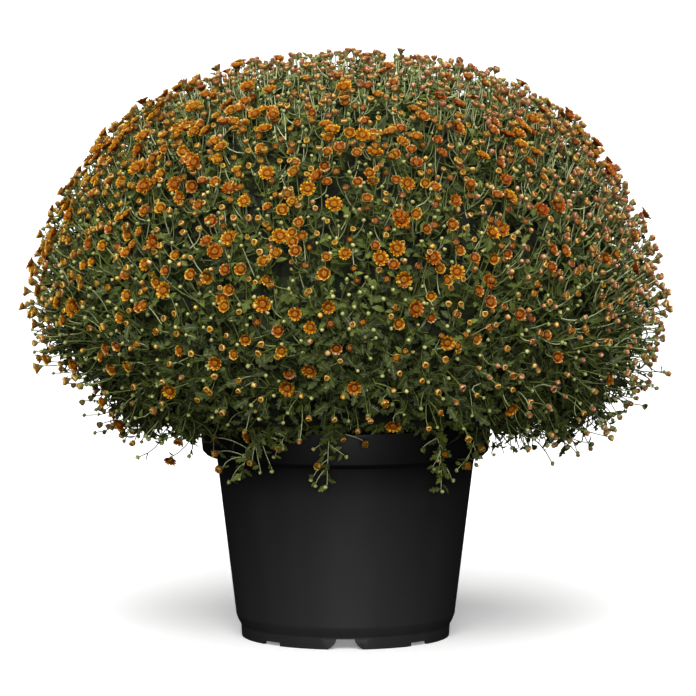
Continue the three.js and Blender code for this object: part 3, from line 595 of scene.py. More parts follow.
def add_stalk(bm, curve, radii, slot, tone=None, shape=STALK):
    """A stalk along the curve (start, bend, end), from the first radius to the second."""
    start, bend, end = curve
    points = np.array([vert.co for vert in shape.vertices])
    t = points[:, 2:3]
    line = (1 - t) ** 2 * np.array(start) + 2 * t * (1 - t) * np.array(bend) + t ** 2 * np.array(end)
    lead = (end - start).normalized()
    side = lead.orthogonal().normalized()
    over = lead.cross(side)
    radius = radii[0] + (radii[1] - radii[0]) * t
    line += radius * (points[:, 0:1] * np.array(side) + points[:, 1:2] * np.array(over))
    copy = shape.copy()
    copy.vertices.foreach_set("co", line.ravel())
    add_mesh(bm, copy, random.random() if tone is None else tone, slot)


def add_leaves(bm, curve, outward, count, shapes, lengths, slot, palest=1.0, darkest=0.0):
    """Leaves in a spiral up a shoot, each with its face to the light. They are smaller towards the
    shoot's tip and paler near the crown of the bush."""
    turn = random.uniform(0, 2 * math.pi)
    lead = (curve[2] - curve[1]).normalized()
    for index in range(count):
        t = (index + random.uniform(0.4, 1.0)) / count
        root = curve_point(curve, t)
        turn += GOLDEN_ANGLE
        side = Matrix.Rotation(turn, 3, lead) @ lead.orthogonal().normalized()
        direction = side + lead * random.uniform(0.2, 1.0)
        face = lead * 0.5 + outward * 0.8 + UP * 0.4 + stray_direction(0.25)
        length = random.uniform(*lengths) * (1.1 - 0.4 * t)
        crown = max(0, (root.z - DOME_CENTRE_Z) / DOME_RISE - 0.6)
        shape = random.choice(shapes)
        tone = random.uniform(darkest, palest) + 1.2 * crown
        add_leaf(bm, shape, root, direction, face, length, tone, slot)


def inner_mass(bm, branch):
    """The dark inside of one branch's share of the bush: a lumpy wedge, closed at the axis."""
    share = 2 * math.pi / BRANCH_COUNT
    foot_angle = math.acos((INNER_FOOT_Z - DOME_CENTRE_Z) / (DOME_DROP * INNER_SCALE))
    wedge = bmesh.new()
    bmesh.ops.create_grid(wedge, x_segments=INNER_COLUMNS, y_segments=INNER_ROWS, size=1)
    for vert in wedge.verts:
        angle = INNER_TOP_ANGLE + (foot_angle - INNER_TOP_ANGLE) * (1 - vert.co.y) / 2
        azimuth = share * (branch + (vert.co.x + 1) / 2)
        point = dome_point(angle, azimuth, inner_scale(angle, azimuth))
        lump = noise.fractal(point / INNER_LUMP_SIZE, 0.8, 2, 3) * INNER_LUMP
        vert.co = point + dome_normal(angle, azimuth) * lump
    rim = [edge for edge in wedge.edges if edge.is_boundary]
    inner = bmesh.ops.extrude_edge_only(wedge, edges=rim)["geom"]
    for vert in inner:
        if isinstance(vert, bmesh.types.BMVert):
            vert.co.x *= INNER_CLOSE
            vert.co.y *= INNER_CLOSE
    bmesh.ops.holes_fill(wedge, edges=[edge for edge in wedge.edges if edge.is_boundary], sides=0)
    bmesh.ops.recalc_face_normals(wedge, faces=wedge.faces)
    wedge.verts.layers.float.new("tone")
    add_mesh(bm, mesh_of(wedge, "wedge"), 0.5, BRANCH_SLOTS["inside"])


def stem(bm, branch):
    """A woody stem from the mix into the bush."""
    middle = outward_at((branch + 0.5) * 2 * math.pi / BRANCH_COUNT) * STEM_RING_RADIUS
    middle.z = (STEM_FOOT_Z + STEM_TOP_Z) / 2
    tube = bmesh.new()
    bmesh.ops.create_cone(tube, cap_ends=True, segments=STEM_SIDES, radius1=STEM_RADIUS,
                          radius2=STEM_TAPER * STEM_RADIUS, depth=STEM_TOP_Z - STEM_FOOT_Z,
                          matrix=Matrix.Translation(middle))
    tube.verts.layers.float.new("tone")
    add_mesh(bm, mesh_of(tube, "stem"), 0.5, BRANCH_SLOTS["stem"])


def mottled(material, colour, pattern, low, high, start=0.3, end=0.7):
    """A colour multiplied by from low to high as a pattern goes from its start value to its end value."""
    shade = add_node(material, "MapRange", {"Value": pattern, "From Min": start, "From Max": end,
                                            "To Min": low, "To Max": high})
    return add_node(material, "Mix", {0: 1.0, 6: colour, 7: shade}, output=2, data_type="RGBA",
                    blend_type="MULTIPLY")


def felted_leaf():
    """Chrysanthemum leaf: matt and felted with fine grey hairs, with paler veins, and from dark old
    green to fresh yellow-green by its tone, which is also lowered as painted shade down the skirt."""
    material, shader, place = new_material("felted_leaf")
    tone, across, along = [add_node(material, "Attribute", output="Fac", attribute_name=name)
                           for name in ("tone", "across", "along")]
    base = add_node(material, "ValToRGB", {"Fac": tone},
                    stops=[(0.0, "#191f06"), (0.5, "#3a4511"), (1.0, "#67712c")])
    # Side veins leave the midrib forwards, about five pairs to a leaf
    width = add_node(material, "Math", {0: across}, operation="ABSOLUTE")
    slant = add_node(material, "Math", {0: width, 1: 0.22, 2: along}, operation="MULTIPLY_ADD")
    beat = add_node(material, "Math", {0: slant, 1: -5.0}, operation="MULTIPLY")
    wave = add_node(material, "Math", {0: beat, 1: 1.0}, operation="PINGPONG")
    side_vein = add_node(material, "MapRange", {"Value": wave, "From Max": 0.18, "To Min": 0.5,
                                                "To Max": 0.0})
    midrib = add_node(material, "MapRange", {"Value": width, "From Max": 0.14, "To Min": 1.0,
                                             "To Max": 0.0})
    veins = add_node(material, "Math", {0: side_vein, 1: midrib}, operation="MAXIMUM")
    veined = add_node(material, "Mix", {0: veins, 6: base, 7: srgb("#687338")}, output=2, data_type="RGBA")
    blotch = add_node(material, "TexNoise", {"Vector": place, "Scale": 1 / (6 * MM), "Detail": 3})
    raised = add_node(material, "Bump", {"Height": veins, "Strength": 0.4, "Distance": 0.5 * MM})
    fill(shader, {"Base Color": mottled(material, veined, blotch, 0.72, 1.25), "Roughness": 0.62,
                  "Normal": raised, "Specular IOR Level": 0.3, "Sheen Weight": 0.06,
                  "Sheen Tint": srgb("#c4c9a4")})
    return material


def inner_foliage():
    """The inside of the bush: packed old leaves and shoots, painted near black as painted shade of the unlit
    depth, mottled and deeply broken up.
    """
    material, shader, place = new_material("inner_foliage")
    clumps = add_node(material, "TexVoronoi", {"Vector": place, "Scale": 1 / (14 * MM)})
    tint = add_node(material, "ValToRGB", {"Fac": clumps.node.outputs["Color"]},
                    stops=[(0.1, "#0a0e04"), (0.6, "#191f0a"), (0.95, "#2e3818")])
    broken = add_node(material, "Bump", {"Height": clumps, "Strength": 1, "Distance": 8 * MM})
    fill(shader, {"Base Color": tint, "Roughness": 0.9, "Normal": broken})
    return material


def stem_bark():
    """A woody chrysanthemum stem: dull brown bark with fine upright cracks."""
    material, shader, place = new_material("stem_bark")
    upright = add_node(material, "Mapping", {"Vector": place, "Scale": (1, 1, 0.15)})
    cracks = add_node(material, "TexNoise", {"Vector": upright, "Scale": 1 / (1.5 * MM)})
    tint = add_node(material, "ValToRGB", {"Fac": cracks}, stops=[(0.35, "#2c2418"), (0.65, "#5d5038")])
    relief = add_node(material, "Bump", {"Height": cracks, "Strength": 0.6, "Distance": 0.5 * MM})
    fill(shader, {"Base Color": tint, "Roughness": 0.85, "Normal": relief})
    return material


def downy_stalk():
    """A young shoot or flower stalk: grey-green under fine pale down, some paler and some darker."""
    material, shader, place = new_material("downy_stalk")
    tone = add_node(material, "Attribute", output="Fac", attribute_name="tone")
    base = add_node(material, "ValToRGB", {"Fac": tone},
                    stops=[(0.0, "#46521e"), (0.6, "#707b3a"), (1.0, "#c5cb98")])
    down = add_node(material, "TexNoise", {"Vector": place, "Scale": 1 / (4 * MM)})
    fill(shader, {"Base Color": mottled(material, base, down, 0.75, 1.2), "Roughness": 0.5})
    return material


def shoot_density(angle):
    """Leafy shoots show more on the shaded skirt, where the flowers thin out."""
    return 1 + 1.4 * max(0, angle - 1.2)


LEAVES = [leaf_shape(LOBED_ROWS, fold=0.35, arch=0.18),
          leaf_shape(LOBED_ROWS, fold=0.15, arch=0.35, twist=0.3),
          leaf_shape(LOBED_ROWS, fold=0.5, arch=0.08, twist=-0.3)]
OLD_LEAF = leaf_shape(plain_rows([0.04, 0.28, 0.26, 0.03]), fold=0.5, arch=0.2)
leaf_material = felted_leaf()
stalk_material = downy_stalk()
branch_pieces = [bmesh.new() for _ in range(BRANCH_COUNT)]


def branch_at(azimuth):
    return branch_pieces[int(azimuth % (2 * math.pi) / (2 * math.pi) * BRANCH_COUNT) % BRANCH_COUNT]


for branch, bm in enumerate(branch_pieces):
    inner_mass(bm, branch)
    stem(bm, branch)

for angle, azimuth in dome_sites(SHOOT_COUNT, shoot_density, stray=0.5):
    low = graded(angle, SHOOT_SHADE, (0, 1))
    normal = dome_normal(angle, azimuth)
    end = dome_point(angle, azimuth, (random.uniform(*SHOOT_TIPS) + 0.025 * low) * swell(angle, azimuth))
    lead = (growth(angle, azimuth) + stray_direction(0.2)).normalized()
    start = end - lead * random.uniform(*SHOOT_LENGTHS)
    # A shoot that would start outside the dark inside is rooted in it
    start -= normal * max(0, dome_scale(start) - inner_scale(angle, azimuth)) * DOME_RADIUS
    curve = (start, start.lerp(end, 0.5) - UP * SHOOT_SAG + normal * SHOOT_BOW, end)
    bm = branch_at(azimuth)
    # Painted shade: the shoot and its leaves are painted darker down the skirt
    add_stalk(bm, curve, SHOOT_RADII, BRANCH_SLOTS["stalk"], tone=random.uniform(0, 1 - 0.6 * low))
    lengths = [length * (1 + 0.12 * low) for length in LEAF_LENGTHS]
    add_leaves(bm, curve, normal, SHOOT_LEAVES, LEAVES, lengths, BRANCH_SLOTS["leaf"],
               palest=1 - 0.65 * low)

for angle, azimuth in dome_sites(OLD_LEAF_COUNT, lambda angle: 1, stray=0.5):
    low = graded(angle, OLD_LEAF_PAINTED_SHADE, (0, 1))
    normal = dome_normal(angle, azimuth)
    root = dome_point(angle, azimuth, inner_scale(angle, azimuth, random.uniform(*OLD_LEAF_ROOTS)))
    direction = stray_direction(1) + UP * 0.4 + normal * 0.5
    face = normal + stray_direction(0.4)
    length = random.uniform(*OLD_LEAF_LENGTHS)
    # Painted shade: old leaves are painted darker down the skirt
    add_leaf(branch_at(azimuth), OLD_LEAF, root, direction, face, length,
             random.uniform(0, 0.5 - 0.35 * low), BRANCH_SLOTS["leaf"])

for index in range(HANGING_SHOOT_COUNT):
    azimuth = (index + random.random()) / HANGING_SHOOT_COUNT * 2 * math.pi
    outward = outward_at(azimuth)
    start = outward * random.uniform(*HANGING_ROOT_RADII) + UP * HANGING_ROOT_Z
    length = random.uniform(*HANGING_SHARES) * graded(from_front(azimuth), *FRINGE_LENGTHS) * MM
    end = start + (outward * random.uniform(0.3, 1.0) - UP * random.uniform(0.3, 0.8)) * length
    curve = (start, start.lerp(end, 0.5) + outward * 0.2 * length, end)
    bm = branch_at(azimuth)
    add_stalk(bm, curve, SHOOT_RADII, BRANCH_SLOTS["stalk"])
    add_leaves(bm, curve, outward, SHOOT_LEAVES, LEAVES, HANGING_LEAF_LENGTHS, BRANCH_SLOTS["leaf"],
               palest=0.8)

branch_materials = [leaf_material, inner_foliage(), stem_bark(), stalk_material]
for branch, bm in enumerate(branch_pieces):
    piece = finished(bm, f"branch_{branch:02d}_leafy", branch_materials)
    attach(piece, "root")
    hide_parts(f"branch_{branch:02d}")

# ---------------------------------------------------------------- flower sprays
# A spray leaves a shoot's tip as a few stalks, and each parts into thin ones with a head apiece.
# The heads are at every stage, from hard green buds through tight salmon ones and young cups to open
# buttons two layers of petals deep.

CAD_HEAD_COUNT = 264
HEAD_COUNT = 4750
CAD_SHADE_ANGLE = math.radians(86)
CAD_SHADE_LOSS = 0.45
SHOOT_SCALE = 0.9  # of the dome: a spray of the model has its shoot within this and its heads beyond
SPRAY_PAINTED_SHADE = (70, 100)  # degrees from the top across which the spray leaves are painted darker, as painted shade
LEADER_TIP = 0.965
LEADER_RADII = (1.3 * MM, 0.8 * MM)
LEADER_LEAVES = 6
LEADER_LEAF_LENGTHS = (10 * MM, 20 * MM)
LEADER_FORKS = range(20, 75, 5)  # percent of the way up a leader, where branchlets may leave it
LEADER_STALK_FORKS = range(60, 90, 5)
BRANCHLET_COUNT = 1300
BRANCHLET_TIPS = (0.9, 0.94)
BRANCHLET_LENGTHS = (22 * MM, 38 * MM)
BRANCHLET_RADII = (0.95 * MM, 0.75 * MM)
BRANCHLET_LEAVES = 3
BRANCHLET_LEAF_LENGTHS = (11 * MM, 19 * MM)
BRANCHLET_STALK_FORKS = range(50, 110, 10)
STALK_LENGTHS = (14 * MM, 28 * MM)
STALK_SINK = 4 * MM
STALK_RADII = (0.75 * MM, 0.65 * MM)
STALK_LEAF_LENGTHS = (8 * MM, 15 * MM)
CROWN = (15, 35)  # degrees from the top between which the crown, with its small tight heads, ends
# degrees from the top across which the painted highlight on the crown's stalks fades
PAINTED_HIGHLIGHT_CROWN = (30, 60)
# degrees from the top across which the skirt's stalks and leaves are painted darker, as painted shade, and
# its heads stand a little further out
HEAD_SHADE = (80, 108)
OUTREACH_ANGLE = math.radians(108)  # below it some heads stand well out of the leaves
OUTREACH_SHARE = 0.25
OUTREACH_LENGTHS = (8 * MM, 24 * MM)
HEAD_UNEVENNESS = 1.2  # mm at the petals
HEAD_UNEVENNESS_SIZE = 2.5
HEAD_VARIANTS = 4
# The first buttons to open flat, most of them on the warm left: turn from the front, dome angle, size
SHOWY_HEADS = [
    (-53, 88, 1.35), (-53, 48, 1.15), (-48, 56, 1.15), (-32, 83, 1.1), (-3, 45, 1.0), (-21, 71, 1.0),
    (6, 75, 1.0), (-10, 106, 1.05), (9, 117, 1.0), (31, 113, 0.95), (42, 50, 1.0), (17, 94, 0.95),
    (-56, 23, 1.0),
]
SHOWY_STALK = 22 * MM
SPRAY_SLOTS = {"face": 0, "young": 1, "back": 2, "green": 3, "floret": 4, "stalk": 5, "leaf": 6}


def cad_flower_density(angle):
    """The spread of the model's own heads, which stand thinner on the shaded skirt."""
    part = min(max((angle - CAD_SHADE_ANGLE) / (SKIRT_ANGLE - CAD_SHADE_ANGLE), 0), 1)
    return 1 - CAD_SHADE_LOSS * part * part * (3 - 2 * part)


def flower_density(angle):
    return graded(angle, [0, 58, 72, 85, 97, 112, 136], [1.1, 1.1, 0.95, 0.8, 0.55, 0.4, 0.3])


def bloom(angle):
    """How far the heads at an angle have opened: the crown and the shaded skirt are late."""
    return graded(angle, [15, 27, 36, 46, 57, 75, 92, 99, 110, 125],
                  [0.2, 0.55, 1.0, 1.2, 0.78, 0.68, 0.68, 0.45, 0.35, 0.15])


def petal_ring(bm, count, root, height, length, width, lifts, slot, turn=0.0):
    """A ring of petals: each a strip, narrower at its ends and bent by the lift angles of its lengths,
    spun round the stalk's axis."""
    before = set(bm.faces)
    strip = bmesh.ops.create_grid(bm, x_segments=1, y_segments=len(lifts), size=1)["verts"]
    along = bm.verts.layers.float["along"]
    widths = [0.6] + [1.0] * (len(lifts) - 1) + [0.5]
    step = length / len(lifts)
    path = [(root, height)]
    for lift in map(math.radians, lifts):
        radius, rise = path[-1]
        path.append((radius + step * math.cos(lift), rise + step * math.sin(lift)))
    for vert in strip:
        row = round((vert.co.y + 1) / 2 * len(lifts))
        radius, rise = path[row]
        vert[along] = row / len(lifts)
        vert.co = Vector((radius, -vert.co.x * width / 2 * widths[row], rise))
    bmesh.ops.rotate(bm, verts=strip, cent=(0, 0, 0), matrix=Matrix.Rotation(turn, 3, "Z"))
    petal = strip + list({edge for vert in strip for edge in vert.link_edges})
    petal += list({face for vert in strip for face in vert.link_faces})
    bmesh.ops.spin(bm, geom=petal, cent=(0, 0, 0), axis=(0, 0, 1), angle=2 * math.pi * (count - 1) / count,
                   steps=count - 1, use_duplicate=True)
    for face in bm.faces:
        if face not in before:
            face.material_index = slot


def spun(bm, profile, steps, slot):
    """A band round the stalk's axis from (radius, height, along) points."""
    before = set(bm.faces)
    along = bm.verts.layers.float["along"]
    points = []
    for radius, height, place in profile:
        point = bm.verts.new((radius, 0, height))
        point[along] = place
        points.append(point)
    chain = [bm.edges.new(pair) for pair in zip(points, points[1:])]
    bmesh.ops.spin(bm, geom=points + chain, cent=(0, 0, 0), axis=(0, 0, 1), angle=2 * math.pi,
                   steps=steps, use_merge=True)
    band = [face for face in bm.faces if face not in before]
    bmesh.ops.remove_doubles(bm, verts=list({vert for face in band for vert in face.verts}), dist=1e-4)
    band = [face for face in bm.faces if face not in before]
    bmesh.ops.recalc_face_normals(bm, faces=band)
    for face in band:
        face.material_index = slot


def head_shape(build, variant):
    """The mesh of a head that the build function makes in millimetres, facing +Z, a little uneven."""
    bm = bmesh.new()
    bm.verts.layers.float.new("along")
    bm.verts.layers.float.new("tone")
    build(bm)
    for vert in bm.verts:
        uneven = noise.noise_vector(vert.co / HEAD_UNEVENNESS_SIZE + Vector((9 * variant, 0, 0)))
        vert.co += uneven * HEAD_UNEVENNESS * min(1, max(0, vert.co.z) / 4)
    bmesh.ops.scale(bm, verts=bm.verts, vec=(MM, MM, MM))
    return mesh_of(bm, "head")


def calyx(bm):
    """The green cup of scales under a head, which widens from the stalk."""
    spun(bm, [(0.7, -0.6, 0), (2.1, 1.2, 0.35), (2.7, 3.2, 0.55)], 5, SPRAY_SLOTS["green"])


def throat(bm, radius, height):
    """The crowd of rolled young petals in the middle of a head, round its small sunken eye."""
    young = [(radius, height - 1.3, 0.05), (0.75 * radius, height, 0.6), (0.22 * radius, height - 0.5, 0.9)]
    eye = [(0.22 * radius, height - 0.5, 0.75), (0, height - 1.4, 1.0)]
    spun(bm, young, 7, SPRAY_SLOTS["young"])
    spun(bm, eye, 5, SPRAY_SLOTS["floret"])


def hard_bud(bm):
    """A closed bud, 5 mm: overlapping green scales with a pale crown."""
    green = SPRAY_SLOTS["green"]
    spun(bm, [(0.6, -0.4, 0), (2.0, 0.9, 0.25), (2.4, 2.2, 0.5), (1.7, 3.6, 0.85), (0, 4.1, 1)], 6, green)


def tight_bud(bm):
    """A bud that shows colour, 7 mm: green below, with its salmon petals still folded to a blunt point."""
    spun(bm, [(0.6, -0.4, 0), (2.3, 1.0, 0.45), (3.0, 3.0, 0.9)], 7, SPRAY_SLOTS["green"])
    spun(bm, [(3.0, 2.8, 0.15), (3.3, 4.3, 0.45), (2.4, 6.0, 0.8), (0, 7.0, 1.05)], 7, SPRAY_SLOTS["back"])


def ring_bud(bm):
    """A bud that has just cracked, 7 mm: striped sides, and a thin pale ring of tips round an amber pit."""
    spun(bm, [(0.6, -0.4, 0), (2.5, 1.0, 0.3), (3.3, 3.0, 0.6)], 7, SPRAY_SLOTS["green"])
    spun(bm, [(3.3, 2.8, 0.45), (3.2, 5.0, 0.8), (2.5, 5.6, 1.15)], 8, SPRAY_SLOTS["back"])
    spun(bm, [(2.5, 5.6, 0.85), (1.3, 4.9, 0.4)], 8, SPRAY_SLOTS["young"])
    spun(bm, [(1.3, 4.9, 0.75), (0, 4.5, 0.95)], 6, SPRAY_SLOTS["floret"])


def young_head(bm):
    """A head that starts to open, 9 mm: a rounded cup of salmon-backed petals round an amber throat."""
    calyx(bm)
    petal_ring(bm, 9, 2.2, 2.2, 6.0, 3.5, (56, 98), SPRAY_SLOTS["back"])
    throat(bm, 3.0, 6.9)


def cup_head(bm):
    """A half-open head, 12 mm: a funnel of petals, salmon and orange outside, orange inside."""
    calyx(bm)
    petal_ring(bm, 10, 2.2, 2.4, 6.6, 3.9, (64, 44), SPRAY_SLOTS["back"])
    petal_ring(bm, 9, 2.0, 2.9, 6.2, 4.0, (60, 42), SPRAY_SLOTS["face"], turn=0.31)
    throat(bm, 3.5, 7.0)


def open_head(bm):
    """An open button, 15 mm: two layers of blunt petals round an amber throat."""
    calyx(bm)
    petal_ring(bm, 12, 2.4, 2.4, 7.4, 4.0, (58, 20), SPRAY_SLOTS["face"])
    petal_ring(bm, 10, 2.2, 2.9, 6.0, 3.7, (60, 36), SPRAY_SLOTS["face"], turn=0.26)
    throat(bm, 3.7, 7.0)


def ray_petal(name, roughness, streaking, warm_stops, deep_stops):
    """A ray petal: its colour runs from root to tip between two sets of stops by the head's tone, with
    uneven tips, fine streaks that are darker and paler by the streaking, and hardly any gloss."""
    material, shader, place = new_material(name)
    along, tone = [add_node(material, "Attribute", output="Fac", attribute_name=name)
                   for name in ("along", "tone")]
    tips = add_node(material, "TexNoise", {"Vector": place, "Scale": 1 / (3 * MM), "Detail": 2})
    uneven = add_node(material, "MapRange", {"Value": tips, "From Min": 0.3, "From Max": 0.7,
                                             "To Min": -0.25, "To Max": 0.15})
    reach = add_node(material, "Math", {0: along, 1: uneven}, operation="ADD")
    warm = add_node(material, "ValToRGB", {"Fac": reach}, stops=warm_stops)
    deep = add_node(material, "ValToRGB", {"Fac": reach}, stops=deep_stops)
    age = add_node(material, "Mix", {0: tone, 6: warm, 7: deep}, output=2, data_type="RGBA")
    streak = add_node(material, "TexNoise", {"Vector": place, "Scale": 1 / (1.2 * MM), "Detail": 2})
    relief = add_node(material, "Bump", {"Height": streak, "Strength": 0.3, "Distance": 0.3 * MM})
    fill(shader, {"Base Color": mottled(material, age, streak, 1 - streaking, 1 + streaking),
                  "Roughness": roughness, "Normal": relief, "Specular IOR Level": 0.12})
    return material


def ray_petal_face():
    """Ray petals, upper side: satin orange that deepens to a dark red-brown at the root, partly its own
    colour and partly painted shade deep in the head, and pales to gold at the tip."""
    return ray_petal("ray_petal_face", 0.5, 0.2,
                     [(0.0, "#561f03"), (0.4, "#7c3b03"), (0.74, "#985704"), (0.96, "#d4a824")],
                     [(0.0, "#401003"), (0.45, "#6c2303"), (0.84, "#843304"), (1.0, "#b0762a")])


def young_petal():
    """Young petals round the throat, still rolled: amber, duller at the root and at the lip."""
    return ray_petal("young_petal", 0.5, 0.15,
                     [(0.0, "#643003"), (0.45, "#865004"), (0.75, "#986708"), (1.0, "#704a08")],
                     [(0.0, "#5a2203"), (0.45, "#743604"), (0.75, "#844a06"), (1.0, "#5e3a08")])


def ray_petal_back():
    """Ray petals, under side: dusty salmon from a greenish root, creamy yellow where the tips turn in."""
    return ray_petal("ray_petal_back", 0.55, 0.3,
                     [(0.0, "#525024"), (0.3, "#73421f"), (0.68, "#8b611f"), (0.95, "#d0b44e")],
                     [(0.0, "#5a5f30"), (0.35, "#754233"), (0.7, "#925a43"), (1.0, "#d6ba8c")])


def green_bud_scales():
    """Bud scales: pale grey-green with thin papery edges, creamy on the crown of a closed bud and dark at its
    foot; the creamy crown is partly its own colour and partly a painted highlight, and the dark foot partly
    painted shade.
    """
    material, shader, place = new_material("green_bud_scales")
    along, tone = [add_node(material, "Attribute", output="Fac", attribute_name=name)
                   for name in ("along", "tone")]
    base = add_node(material, "ValToRGB", {"Fac": along},
                    stops=[(0.0, "#454e25"), (0.45, "#6b743c"), (0.8, "#a59f55"), (1.0, "#cfc68c")])
    greener = add_node(material, "Mix", {0: tone, 6: base, 7: srgb("#7b864a")}, output=2, data_type="RGBA")
    scales = add_node(material, "TexVoronoi", {"Vector": place, "Scale": 1 / (1.4 * MM)})
    relief = add_node(material, "Bump", {"Height": scales, "Strength": 0.6, "Distance": 0.4 * MM})
    fill(shader, {"Base Color": mottled(material, greener, scales, 1.15, 0.7, start=0, end=1),
                  "Roughness": 0.6, "Normal": relief})
    return material


def disc_florets():
    """Disc florets: a small pitted eye of amber-brown, darker towards its middle."""
    material, shader, place = new_material("disc_florets")
    along = add_node(material, "Attribute", output="Fac", attribute_name="along")
    base = add_node(material, "ValToRGB", {"Fac": along},
                    stops=[(0.75, "#7c5a14"), (0.9, "#5e4210"), (1.0, "#382a0a")])
    pits = add_node(material, "TexVoronoi", {"Vector": place, "Scale": 1 / (0.8 * MM)})
    relief = add_node(material, "Bump", {"Height": pits, "Strength": 0.8, "Distance": 0.4 * MM})
    fill(shader, {"Base Color": base, "Roughness": 0.8, "Normal": relief})
    return material


SMALL_LEAVES = [leaf_shape(plain_rows([0.03, 0.24, 0.23, 0.02]), fold=0.5, arch=0.2)]
SPRAY_LEAVES = SMALL_LEAVES + LEAVES
SPRAY_MATERIALS = [ray_petal_face(), young_petal(), ray_petal_back(), green_bud_scales(), disc_florets(),
                   stalk_material, leaf_material]
# Each stage: the function that builds it, and the scales of the dome between which it stands
HEAD_STAGES = {
    "bud": (hard_bud, (0.89, 0.985)),
    "tight": (tight_bud, (0.91, 0.985)),
    "ring": (ring_bud, (0.91, 0.985)),
    "young": (young_head, (0.92, 0.985)),
    "cup": (cup_head, (0.93, 0.985)),
    "open": (open_head, (0.95, 0.99)),
}
HEAD_SHAPES = {kind: [head_shape(build, variant) for variant in range(HEAD_VARIANTS)]
               for kind, (build, _) in HEAD_STAGES.items()}


def head_kind(point, angle):
    """The stage of a head, drawn by shares. The left and the shoulders are further on than the right,
    the crown and the skirt, and tight salmon buds stand most on the crown and the right."""
    lag = 0.5 + 0.35 * point.x / DOME_RADIUS + 0.3 * noise.noise(point / (70 * MM))
    late = max(0, point.x / DOME_RADIUS - 0.2)
    crown = graded(angle, CROWN, (1, 0))
    shares = {
        "open": max(0.0, 0.16 - 0.17 * lag) * bloom(angle),
        "cup": max(0.04, 0.29 - 0.16 * lag - 0.25 * late) * bloom(angle),
        "young": (0.11 + 0.14 * lag + 0.2 * late) * bloom(angle),
        "ring": 0.22 - 0.12 * crown - 0.16 * late,
        "tight": 0.06 + 0.5 * crown + 0.4 * late,
    }
    draw = random.random()
    for kind, share in shares.items():
        draw -= share
        if draw < 0:
            return kind
    return "bud"


def head_facing(normal, lead, kind):
    """Heads that have begun to open look outward; hard and tight buds still point along their stalks."""
    if kind in ("bud", "tight"):
        return (normal * 0.35 + lead * 0.9 + stray_direction(0.2)).normalized()
    flat = Vector((normal.x, normal.y, 0))
    return (normal * 0.9 + flat * 0.4 + lead * 0.25 + stray_direction(0.24)).normalized()


def add_head(bm, place, facing, kind, size, tone=None):
    """A head on its stalk's end, turned at random about the way it faces. Unless its tone is given, it
    is deeper and more salmon towards the right and the crown."""
    if tone is None:
        crown = max(0, (place.z - DOME_CENTRE_Z) / DOME_RISE - 0.75)
        tone = min(max(random.uniform(0.05, 0.85) + 0.28 * place.x / DOME_RADIUS + 1.6 * crown, 0), 1)
        if kind in ("bud", "ring"):
            tone *= 0.6
    turn = facing.to_track_quat("Z", "Y").to_matrix().to_4x4()
    turn = turn @ Matrix.Rotation(random.uniform(0, 6.3), 4, "Z")
    add_copy(bm, random.choice(HEAD_SHAPES[kind]),
             Matrix.Translation(place) @ turn @ Matrix.Scale(size, 4), tone)


def nearest_among(places):
    """A function that finds the one of the (place, spray) pairs nearest a point."""
    tree = KDTree(len(places))
    for index, (place, _) in enumerate(places):
        tree.insert(place, index)
    tree.balance()
    return lambda point: places[tree.find(point)[1]]


def forks_on(curve, name, percents):
    """The places of a spray's curve, as (place, spray) pairs, where finer stalks may leave it."""
    return [(curve_point(curve, percent / 100), name) for percent in percents]


def grown_curve(start, end, lead, share=0.5):
    """The curve (start, bend, end) of a stalk that comes to its end along the lead."""
    return start, end - lead * (end - start).length * share, end


spray_names = sorted(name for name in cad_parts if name.startswith("spray_"))
spray_pieces = {name: bmesh.new() for name in spray_names}
shoots = {}
outer_points = []
for name in spray_names:
    points = [vert.co.copy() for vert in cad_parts[name].data.vertices]
    inner = [point for point in points if dome_scale(point) < SHOOT_SCALE]
    shoots[name] = sum(inner, Vector()) / len(inner)
    outer_points += [(point, name) for point in points if dome_scale(point) >= SHOOT_SCALE]
nearest_spray = nearest_among(outer_points)

leader_forks = []
stalk_forks = []
for angle, azimuth in dome_sites(CAD_HEAD_COUNT, cad_flower_density):
    normal = dome_normal(angle, azimuth)
    low = graded(angle, SPRAY_PAINTED_SHADE, (0, 1))
    place = dome_point(angle, azimuth, LEADER_TIP * swell(angle, azimuth))
    _, name = nearest_spray(place)
    lead = (growth(angle, azimuth) + stray_direction(0.1)).normalized()
    curve = grown_curve(shoots[name], place, lead, share=0.55)
    leader_forks += forks_on(curve, name, LEADER_FORKS)
    stalk_forks += forks_on(curve, name, LEADER_STALK_FORKS)
    bm = spray_pieces[name]
    add_stalk(bm, curve, LEADER_RADII, SPRAY_SLOTS["stalk"], tone=random.uniform(0, 0.4))
    kind = head_kind(place, angle)
    add_head(bm, place, head_facing(normal, lead, kind), kind, random.uniform(0.9, 1.1))
    # Painted shade: the leaves are painted darker down the skirt
    add_leaves(bm, curve, normal, LEADER_LEAVES, SPRAY_LEAVES, LEADER_LEAF_LENGTHS, SPRAY_SLOTS["leaf"],
               palest=1 - 0.5 * low)

